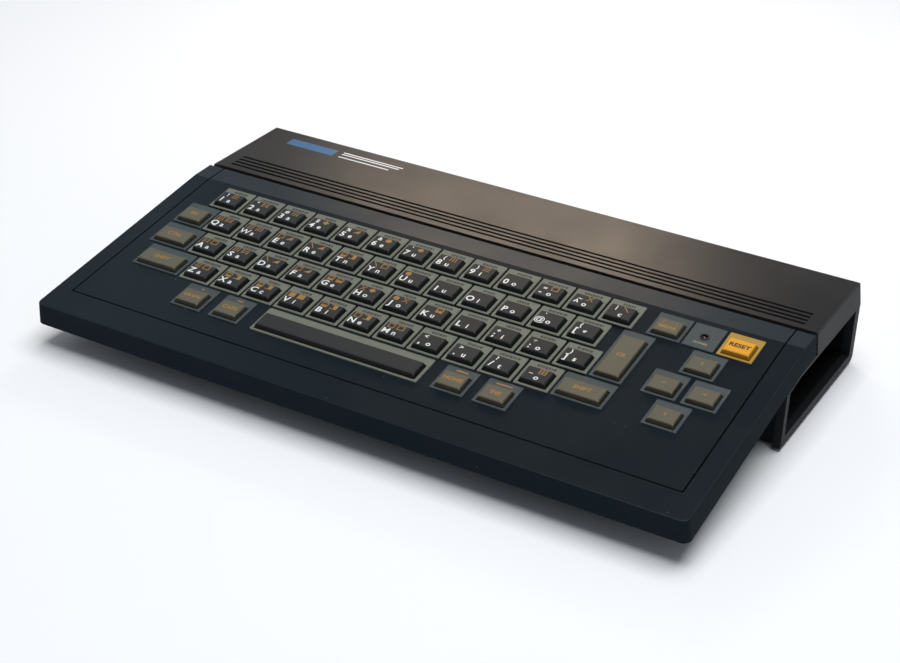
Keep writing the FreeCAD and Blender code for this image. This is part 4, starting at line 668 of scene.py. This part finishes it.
def finish_material(name, colour, roughness, grain=0.5, mottle=30.0, depth=0.01, tone=0.08, wear=0.04,
                    level=0.5, metallic=0.0, coat=0.0, pattern=None, top=None, facing=DECK_NORMAL, edge=None,
                    painted_highlight_share=0.0, side=None, side_roughness=None, dust=None, dust_share=0.0):
    """A moulded, printed or metal finish with grain, tone and dust, and painted light: highlight on narrow
    edges, shade on leaning sides, sheen on level faces.

    Grain, mottle and depth are in millimetres. Tone and wear are how far colour and roughness stray.
    """
    material = bpy.data.materials.get(name)
    if material:
        return material
    material = bpy.data.materials.new(name)
    material.use_nodes = True
    tree = material.node_tree
    shader = tree.nodes["Principled BSDF"]
    texture = place_group(tree, grain_group(), Grain=grain, Mottle=mottle)
    base = mix_colours(tree, texture.outputs["Tone"], shade(colour, 1 - tone), shade(colour, 1 + tone))
    rough = mapped(tree, texture.outputs["Tone"], (*TONE_LIMITS, roughness - wear, roughness + wear), "LINEAR")
    if pattern:
        base = pattern(tree, base, colour)
    # Painted sheen: faces square to the vertical take the lighter top colour, standing in for the sheen that
    # they catch
    if top is not None:
        sheen_faces = place_group(tree, edge_group(), Facing=UPWARD)
        base = mix_colours(tree, sheen_faces.outputs["Top"], base, shade(top, 1))
    # Painted highlight on narrow edges, and painted shade on sides that lean away from the facing direction
    if edge is not None:
        edges = place_group(tree, edge_group(), Facing=facing)
        share = maths(tree, "MULTIPLY", edges.outputs["Mask"], painted_highlight_share)
        base = mix_colours(tree, share, base, shade(edge, 1))
        if side is not None:
            base = mix_colours(tree, edges.outputs["Side"], base, shade(side, 1))
        if side_roughness is not None:
            rough = maths(tree, "MULTIPLY_ADD", edges.outputs["Side"], side_roughness - roughness, rough)
    if dust is not None:
        specks = place_group(tree, dust_group(), Cell=DUST_CELL, Share=dust_share)
        share = maths(tree, "MULTIPLY", specks.outputs["Mask"], DUST_COVER)
        base = mix_colours(tree, share, base, shade(dust, 1))
    bump = tree.nodes.new("ShaderNodeBump")
    bump.inputs["Strength"].default_value = BUMP_STRENGTH
    bump.inputs["Distance"].default_value = depth * MM
    put(tree, texture.outputs["Height"], bump.inputs["Height"])
    for socket, value in (
        ("Base Color", base), ("Roughness", rough), ("Metallic", metallic), ("Specular IOR Level", level),
        ("Coat Weight", coat), ("Coat Roughness", COAT_ROUGHNESS), ("Normal", bump.outputs["Normal"]),
    ):
        put(tree, value, shader.inputs[socket])
    return material


def trace_pattern(tree, base, colour):
    """Copper tracks seen through the coat of a printed board."""
    bricks = tree.nodes.new("ShaderNodeTexBrick")
    put(tree, object_place(tree), bricks.inputs["Vector"])
    black, white = (0, 0, 0, 1), (1, 1, 1, 1)
    for socket, value in (
        ("Scale", 1000 / TRACE_PITCH), ("Mortar Size", TRACE_WIDTH), ("Color1", black), ("Color2", black),
        ("Mortar", white),
    ):
        bricks.inputs[socket].default_value = value
    return mix_colours(tree, bricks.outputs["Color"], base, shade(colour, TRACE_LIGHT))


def wire_pattern(tree, base, colour):
    """Parallel cores of a flat cable."""
    waves = tree.nodes.new("ShaderNodeTexWave")
    waves.bands_direction = "X"
    waves.inputs["Scale"].default_value = 1000 / WIRE_PITCH
    put(tree, object_place(tree), waves.inputs["Vector"])
    share = maths(tree, "MULTIPLY", waves.outputs["Fac"], WIRE_SHARE)
    return mix_colours(tree, share, base, shade(colour, WIRE_DARK))


def ink(name, look):
    """The finish of one ink."""
    colour, roughness, grain, mottle, tone, level = INKS[name]
    return finish_material(name, getattr(look, colour), roughness, grain=grain, mottle=mottle,
                           depth=INK_DEPTH, tone=tone, level=level)


def dress(slot, material):
    """Puts a finish on every solid of one material slot."""
    for part in frame["record"]["subparts"]:
        if part["material_slot"] == slot:
            dress_node(part["node"], material)


def dress_node(name, material):
    """Puts a finish on one solid."""
    node = frame["nodes"][name]
    node.data.materials.clear()
    node.data.materials.append(material)


class COMPUTER_OT_housing(Operator):
    """Gives deck, rear cover and bottom case their moulded plastics"""

    bl_idname = "computer.housing"
    bl_label = "Housing plastics"

    def execute(self, context):
        look = context.scene.housing_look
        plastic = {"grain": look.grain, "mottle": look.mottle, "depth": look.grain_depth}
        # Painted highlight along the moulded edges rides with the real dust on all three plastics
        dust_and_painted_highlight = {"edge": look.edge, "dust": look.dust, **plastic}
        # The deck also takes a painted sheen on its level strip behind the bend
        dress("deck", finish_material(
            "deck_plastic", look.deck, 0.34, level=0.1, wear=0.06, tone=0.1, top=look.facet_painted_sheen, painted_highlight_share=0.3,
            side_roughness=0.85, dust_share=0.08, **dust_and_painted_highlight))
        dress("cover", finish_material(
            "cover_plastic", look.cover, 0.34, level=0.36, wear=0.06, tone=0.12, facing=UPWARD,
            painted_highlight_share=0.25, side_roughness=0.68, dust_share=0.1, **dust_and_painted_highlight))
        dress("case", finish_material(
            "case_plastic", look.case, 0.6, level=0.16, tone=0.1, facing=RIGHT_AND_UP, painted_highlight_share=0.3,
            dust_share=0.06, **dust_and_painted_highlight))
        # The bay's near-black plastic carries painted shade for the inside of the bay
        dress_node("bay_liner", finish_material("bay_plastic", look.bay, 0.8, level=0.1, **plastic))
        return {"FINISHED"}


class COMPUTER_OT_keys(Operator):
    """Gives plates and caps their satin plastics"""

    bl_idname = "computer.keys"
    bl_label = "Key plastics"

    def execute(self, context):
        look = context.scene.key_look
        shared = {"grain": look.grain, "mottle": 16.0, "depth": 0.012, "tone": 0.06}
        # Painted highlight on each plate's and cap's narrow edges, and painted shade on the leaning sides of
        # the caps and the reset plate
        for target, name, colour, roughness, level, edge, share, side in KEY_FINISHES:
            base = getattr(look, colour)
            finish = finish_material(
                name, base, roughness, level=level, edge=shade(base, edge), painted_highlight_share=share,
                side=None if side is None else shade(base, side), **shared)
            put_on = dress_node if target in frame["nodes"] else dress
            put_on(target, finish)
        return {"FINISHED"}


class COMPUTER_OT_inside(Operator):
    """Gives boards, chips, metals, rubber and sockets their finishes"""

    bl_idname = "computer.inside"
    bl_label = "Boards, metals and rubber"

    def execute(self, context):
        look = context.scene.inside_look
        dress("board", finish_material("board_coat", look.board, 0.3, grain=1.0, depth=0.02, coat=0.4,
                                       pattern=trace_pattern))
        dress("chip", finish_material("chip_resin", linear(32, 32, 33), 0.55, grain=0.2, depth=0.01))
        dress("rubber", finish_material("rubber", linear(40, 40, 40), 0.75, grain=0.4, depth=0.03, level=0.3))
        dress("black_plastic", finish_material("black_plastic", linear(24, 24, 25), 0.4, grain=0.3, level=0.4))
        dress("ivory_plastic", finish_material("ivory_plastic", linear(196, 188, 168), 0.45, grain=0.3))
        dress("ribbon", finish_material("flat_cable", linear(150, 151, 152), 0.5, pattern=wire_pattern))
        dress("lamp", finish_material("lamp_lens", linear(40, 12, 11), 0.25, grain=2.0, depth=0.0, coat=0.2))
        dress("steel", finish_material("zinc_steel", linear(176, 176, 172), 0.35, metallic=1.0, grain=0.3))
        dress("tin", finish_material("tinned_steel", linear(196, 195, 190), 0.3, metallic=1.0, grain=0.8))
        dress("aluminium", finish_material("aluminium", linear(200, 201, 203), 0.38, metallic=1.0, grain=0.4))
        dress("capacitor", finish_material("capacitor_sleeve", linear(32, 52, 104), 0.3, coat=0.3, grain=1.0))
        return {"FINISHED"}


class COMPUTER_OT_signs(Operator):
    """Prints the letters, digits and signs on the character caps"""

    bl_idname = "computer.signs"
    bl_label = "Letters and signs"

    def execute(self, context):
        look = context.scene.print_look
        signs = {name: texts for name, _row, _left, _sizes, *texts in CHARACTER_ROWS}
        prints = {}
        for bank, row, index, plate in character_plates():
            sheet = prints.setdefault(bank, Print(deck_point, CAP_TOP_N))
            x0, _x1, v0, _v1 = cap_rect(plate)
            big, shifted, small = (text[index] for text in signs[row])
            if big.strip():
                weight = look.weight * (DENSE_WEIGHT if big in DENSE_SIGNS else 1)
                sheet.text(big, x0 + BIG_PLACE[0], v0 + BIG_PLACE[1], look.big / CAPITAL_SHARE, weight)
            if shifted.strip():
                foot = v0 + SHIFTED_PLACE[1] - (LOWERED_BY if shifted in LOWERED_SIGNS else 0.0)
                sheet.text(shifted, x0 + SHIFTED_PLACE[0], foot, SHIFTED_HEIGHT / CAPITAL_SHARE,
                           look.weight * LIGHT_WEIGHT)
            if small.strip():
                sheet.text(small, x0 + SMALL_PLACE[0], v0 + SMALL_PLACE[1], look.small,
                           look.weight * LIGHT_WEIGHT)
        for bank, sheet in prints.items():
            sheet.build(bank + "_signs", ink("white_ink", look), bank + "_body", look.thickness)
        return {"FINISHED"}


class COMPUTER_OT_blocks(Operator):
    """Prints the orange block patterns on the character caps"""

    bl_idname = "computer.blocks"
    bl_label = "Orange blocks"

    def execute(self, context):
        look = context.scene.print_look
        prints = {}
        for bank, row, index, plate in character_plates():
            x0, _x1, v0, _v1 = cap_rect(plate)
            for pattern, (left, width) in zip(BLOCKS[row][index], BLOCK_PLACES):
                if not pattern:
                    continue
                sheet = prints.setdefault(bank, Print(deck_point, CAP_TOP_N))
                for shape in block_shapes(pattern):
                    sheet.polygon([
                        (x0 + left + px * width, v0 + BLOCK_FOOT + pv * BLOCK_HEIGHT) for px, pv in shape
                    ])
        for bank, sheet in prints.items():
            sheet.build(bank + "_blocks", ink("orange_ink", look), bank + "_body", look.thickness)
        return {"FINISHED"}


class COMPUTER_OT_words(Operator):
    """Prints words and arrows on the taupe caps and the yellow cap"""

    bl_idname = "computer.words"
    bl_label = "Words and arrows"

    def execute(self, context):
        look = context.scene.print_look
        for key, (row, left, right, rows, word) in CONTROL_KEYS.items():
            x0, x1, v0, v1 = cap_rect(plate_rect(row, left, right, rows))
            middle_x, middle_v = (x0 + x1) / 2, (v0 + v1) / 2
            sheet = Print(deck_point, CAP_TOP_N)
            if word.islower():
                for shape in arrow_shapes(word):
                    sheet.polygon([(middle_x + x, middle_v + ARROW_RAISE + v) for x, v in shape])
            else:
                self.word(sheet, word, middle_x, middle_v, x1 - x0, look)
            if word == "BREAK":
                self.corners(sheet, middle_x, middle_v)
            name = "black_ink" if word == "RESET" else "orange_ink"
            sheet.build(key + "_word", ink(name, look), key + "_body", look.thickness)
        return {"FINISHED"}

    def word(self, sheet, word, x, v, room, look):
        """One word, larger on the yellow cap and smaller where it's long for its cap."""
        bold = word == "RESET"
        narrow = len(word) > 4 and room < NARROW_CAP and not bold
        height = look.word * (BOLD_SHARE if bold else 1.0)
        drop = BREAK_DROP if word == "BREAK" else 0.0
        size = height / CAPITAL_SHARE * (NARROW_SHARE if narrow else 1.0)
        sheet.text(word, x, v - height / 2 + WORD_RAISE - drop, size,
                   look.weight * (BOLD_SHARE if bold else WORD_WEIGHT))

    def corners(self, sheet, x, v):
        """The two corner marks above the word of the break key."""
        reach, half_line, arm = 3.4, 0.15, 1.0
        foot, line_foot, top = 1.2, 3.1, 3.4
        for side in (-1, 1):
            post = x + side * reach
            sheet.bar(post - half_line, post + half_line, v + foot, v + top)
            low, high = sorted((post - side * half_line, post - side * arm))
            sheet.bar(low, high, v + line_foot, v + top)


class COMPUTER_OT_plate_prints(Operator):
    """Prints dashes and bars on the plates, painted shadow strips between them, and the word under the lamp"""

    bl_idname = "computer.plate_prints"
    bl_label = "Plate prints"

    def execute(self, context):
        look = context.scene.print_look
        self.dashes(look)
        self.joints(look)
        self.marks(look)
        word = Print(deck_point, PLATE_TOP_N)
        word.text("POWER", LAMP_CENTRE[0], LAMP_CENTRE[1] - LAMP_WORD_DROP, LAMP_WORD_HEIGHT / CAPITAL_SHARE,
                  LAMP_WORD_WEIGHT)
        word.build("lamp_word", ink("pale_ink", look), "housing", look.thickness)
        return {"FINISHED"}

    def dashes(self, look):
        """A row of small dark dashes behind each character cap."""
        sheet = Print(deck_point, PLATE_TOP_N)
        for count, (_bank, _row, _index, (x0, x1, _v0, v1)) in enumerate(character_plates()):
            half = DASH_ROWS[count * 5 % len(DASH_ROWS)] / 2
            middle = (x0 + x1) / 2 + DASH_SHIFT
            x, dash = middle - half, 0
            while x < middle + half:
                width = DASH_WIDTHS[(count + dash) % len(DASH_WIDTHS)]
                sheet.bar(x, x + width, v1 - DASH_BAND[0], v1 - DASH_BAND[1])
                x += width + DASH_GAP
                dash += 1
        sheet.build("plate_bars", ink("bar_ink", look), "housing", look.thickness)

    def joints(self, look):
        """Painted shadow: dark strips on the panel between neighbouring plates, where the gaps fall into
        shade.
        """
        sheet = Print(deck_point, 0.0)
        last = {name: sum(sizes) - 1 for name, _row, _left, sizes, *_texts in CHARACTER_ROWS}
        for _bank, row, index, (x0, x1, v0, v1) in character_plates():
            if index < last[row]:
                sheet.bar(x1 + SIDE_GAP_SHADOW[0], x1 + SIDE_GAP_SHADOW[1], v0, v1)
            if row != "lower":
                sheet.bar(x0, x1, v0 - FRONT_GAP_SHADOW[0], v0 - FRONT_GAP_SHADOW[1])
        sheet.build("plate_joints", ink("joint_black", look), "housing", look.thickness)

    def marks(self, look):
        """Short orange bars on four plates."""
        sheet = Print(deck_point, PLATE_TOP_N)
        for key, half in PLATE_MARKS:
            x0, x1, _v0, v1 = plate_rect(*CONTROL_KEYS[key][:4])
            middle = (x0 + x1) / 2
            sheet.bar(middle - half, middle + half, v1 - MARK_BAND[0], v1 - MARK_BAND[1])
        sheet.build("control_plate_marks", ink("orange_ink", look), "housing", look.thickness)


class COMPUTER_OT_cover_marks(Operator):
    """Prints the plain blue bar and the plain white lines on the rear cover"""

    bl_idname = "computer.cover_marks"
    bl_label = "Rear cover marks"

    def execute(self, context):
        look = context.scene.print_look
        bar = Print(cover_point, 0.0)
        bar.bar(*COVER_BAR)
        bar.build("cover_bar", ink("blue_ink", look), "housing", look.thickness)
        lines = Print(cover_point, 0.0)
        for y, right in COVER_LINES:
            lines.bar(LINES_LEFT, right, y, y + LINE_WIDTH)
        lines.build("cover_lines", ink("white_ink", look), "housing", look.thickness)
        return {"FINISHED"}


class COMPUTER_OT_contacts(Operator):
    """Makes the gilded springs inside the bay's connector"""

    bl_idname = "computer.contacts"
    bl_label = "Connector springs"

    def execute(self, context):
        look = context.scene.inside_look
        gold = finish_material("gilt", look.contact, 0.28, metallic=1.0, grain=0.4, tone=0.1)
        low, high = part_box("cartridge_slot")
        middle_z = (low.z + high.z) / 2
        y0, y1 = low.y + SPRING_MARGIN * MM, high.y - SPRING_MARGIN * MM
        shape = bmesh.new()
        for index in range(look.contacts):
            y = y0 + (y1 - y0) * index / max(1, look.contacts - 1)
            for side in (-1, 1):
                self.spring(shape, high.x, y, middle_z, side)
        bmesh.ops.recalc_face_normals(shape, faces=shape.faces)
        piece = add_mesh(shape, "connector_springs", gold)
        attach(piece, "housing")
        return {"FINISHED"}

    def spring(self, shape, end_x, y, middle_z, side):
        """One flat spring, above or below the connector's middle plane."""
        corners = ((-1, 0.0), (1, 0.0), (1, SPRING_THICKNESS), (-1, SPRING_THICKNESS))
        rings = [
            [
                shape.verts.new((
                    end_x + x * MM, y + across * SPRING_HALF_WIDTH * MM, middle_z + side * (z + lift) * MM
                ))
                for across, lift in corners
            ]
            for x, z in SPRING_PATH
        ]
        for first, second in zip(rings, rings[1:]):
            for corner in range(len(corners)):
                after = (corner + 1) % len(corners)
                shape.faces.new((first[corner], first[after], second[after], second[corner]))
        shape.faces.new(rings[0])
        shape.faces.new(rings[-1])


class COMPUTER_OT_studio(Operator):
    """Makes the floor, the lamps, the world and the camera"""

    bl_idname = "computer.studio"
    bl_label = "Studio"

    def execute(self, context):
        look = context.scene.studio_look
        shape = bmesh.new()
        bmesh.ops.create_grid(shape, x_segments=FLOOR_SQUARES, y_segments=FLOOR_SQUARES, size=FLOOR_SIZE)
        paper = finish_material("floor_paper", look.floor, 0.8, grain=2.0, mottle=400.0, depth=0.0, tone=0.01,
                                level=0.1)
        self.fade(paper, look.floor)
        floor = add_mesh(shape, "floor", paper)
        for name, place, target, size, power, colour in LAMPS:
            self.lamp(name, place, target, size, getattr(look, power), colour)
        self.world(context.scene, look.ambient, look.floor)
        self.camera(context.scene, look.lens)
        context.scene.view_settings.view_transform = "Standard"
        return {"FINISHED"}

    def lamp(self, name, place, target, size, power, colour):
        """A flat lamp that points at its target and isn't seen itself."""
        data = bpy.data.lights.new(name, "AREA")
        data.shape = "RECTANGLE"
        data.size, data.size_y = size
        data.energy = power
        data.color = colour
        lamp = add_object(name, data)
        lamp.location = place
        lamp.rotation_euler = (Vector(target) - Vector(place)).to_track_quat("-Z", "Y").to_euler()
        lamp.visible_camera = False

    def seen(self, tree):
        """A mask of the rays that show the background: camera, glossy and transmission rays."""
        rays = tree.nodes.new("ShaderNodeLightPath").outputs
        glossy = maths(tree, "MAXIMUM", rays["Is Camera Ray"], rays["Is Glossy Ray"])
        return maths(tree, "MAXIMUM", glossy, rays["Is Transmission Ray"])

    def mix_shaders(self, tree, factor, first, second, output):
        """Mixes two shaders into the output's surface."""
        mix = tree.nodes.new("ShaderNodeMixShader")
        for value, socket in zip((factor, first.outputs[0], second.outputs[0]), mix.inputs):
            put(tree, value, socket)
        put(tree, mix.outputs[0], output.inputs["Surface"])

    def fade(self, material, colour):
        """Blends the floor into the plain background away from the computer."""
        tree = material.node_tree
        reach = tree.nodes.new("ShaderNodeVectorMath")
        reach.operation = "LENGTH"
        put(tree, object_place(tree), reach.inputs[0])
        far = mapped(tree, reach.outputs["Value"], FLOOR_FADE)
        plain = tree.nodes.new("ShaderNodeEmission")
        plain.inputs["Color"].default_value = shade(colour, 1)
        self.mix_shaders(tree, maths(tree, "MULTIPLY", far, self.seen(tree)), tree.nodes["Principled BSDF"],
                         plain, tree.nodes["Material Output"])

    def world(self, scene, ambient, colour):
        """Even light for the computer, and a pale background that darkens upward for the rays that show it."""
        world = bpy.data.worlds.new("studio")
        scene.world = world
        world.use_nodes = True
        tree = world.node_tree
        tree.nodes.clear()
        even = tree.nodes.new("ShaderNodeBackground")
        even.inputs["Color"].default_value = AMBIENT_COLOUR
        even.inputs["Strength"].default_value = ambient
        place = tree.nodes.new("ShaderNodeTexCoord")
        axes = tree.nodes.new("ShaderNodeSeparateXYZ")
        put(tree, place.outputs["Generated"], axes.inputs[0])
        pale = tree.nodes.new("ShaderNodeBackground")
        pale.inputs["Color"].default_value = shade(colour, 1)
        put(tree, mapped(tree, axes.outputs["Z"], SKY_FALL), pale.inputs["Strength"])
        self.mix_shaders(tree, self.seen(tree), even, pale, tree.nodes.new("ShaderNodeOutputWorld"))

    def camera(self, scene, lens):
        """The camera at the photograph's viewing angle."""
        data = bpy.data.cameras.new("camera")
        data.lens = lens
        data.sensor_width = SENSOR_WIDTH
        data.clip_start, data.clip_end = 0.05, 30.0
        camera = add_object("camera", data)
        turn = Matrix((CAMERA_RIGHT, CAMERA_UP, -Vector(CAMERA_AHEAD))).transposed().to_4x4()
        camera.matrix_world = Matrix.Translation(CAMERA_PLACE) @ turn
        scene.camera = camera


STEPS = (
    COMPUTER_OT_housing,
    COMPUTER_OT_keys,
    COMPUTER_OT_inside,
    COMPUTER_OT_signs,
    COMPUTER_OT_blocks,
    COMPUTER_OT_words,
    COMPUTER_OT_plate_prints,
    COMPUTER_OT_cover_marks,
    COMPUTER_OT_contacts,
    COMPUTER_OT_studio,
)
LOOKS = (
    ("housing_look", HousingLook),
    ("key_look", KeyLook),
    ("print_look", PrintLook),
    ("inside_look", InsideLook),
    ("studio_look", StudioLook),
)


class COMPUTER_PT_panel(Panel):
    """Sizes, colours and steps of the computer"""

    bl_idname = "COMPUTER_PT_panel"
    bl_label = "Home computer"
    bl_space_type = "VIEW_3D"
    bl_region_type = "UI"
    bl_category = "Home computer"

    def draw(self, context):
        layout = self.layout
        for name, group in LOOKS:
            box = layout.box()
            box.label(text=group.__doc__)
            for field in group.__annotations__:
                box.prop(getattr(context.scene, name), field)
        for step in STEPS:
            layout.operator(step.bl_idname)


def register():
    """Adds the looks, the operators and the panel."""
    for name, group in LOOKS:
        bpy.utils.register_class(group)
        setattr(bpy.types.Scene, name, PointerProperty(type=group))
    for step in STEPS:
        bpy.utils.register_class(step)
    bpy.utils.register_class(COMPUTER_PT_panel)


def unregister():
    """Takes them out again, last one first."""
    bpy.utils.unregister_class(COMPUTER_PT_panel)
    for step in reversed(STEPS):
        bpy.utils.unregister_class(step)
    for name, group in reversed(LOOKS):
        delattr(bpy.types.Scene, name)
        bpy.utils.unregister_class(group)


def main():
    """Dresses the computer step by step."""
    register()
    for operator in (
        bpy.ops.computer.housing,
        bpy.ops.computer.keys,
        bpy.ops.computer.inside,
        bpy.ops.computer.signs,
        bpy.ops.computer.blocks,
        bpy.ops.computer.words,
        bpy.ops.computer.plate_prints,
        bpy.ops.computer.cover_marks,
        bpy.ops.computer.contacts,
        bpy.ops.computer.studio,
    ):
        operator()
    bpy.context.view_layer.update()


if __name__ == "__main__":
    main()
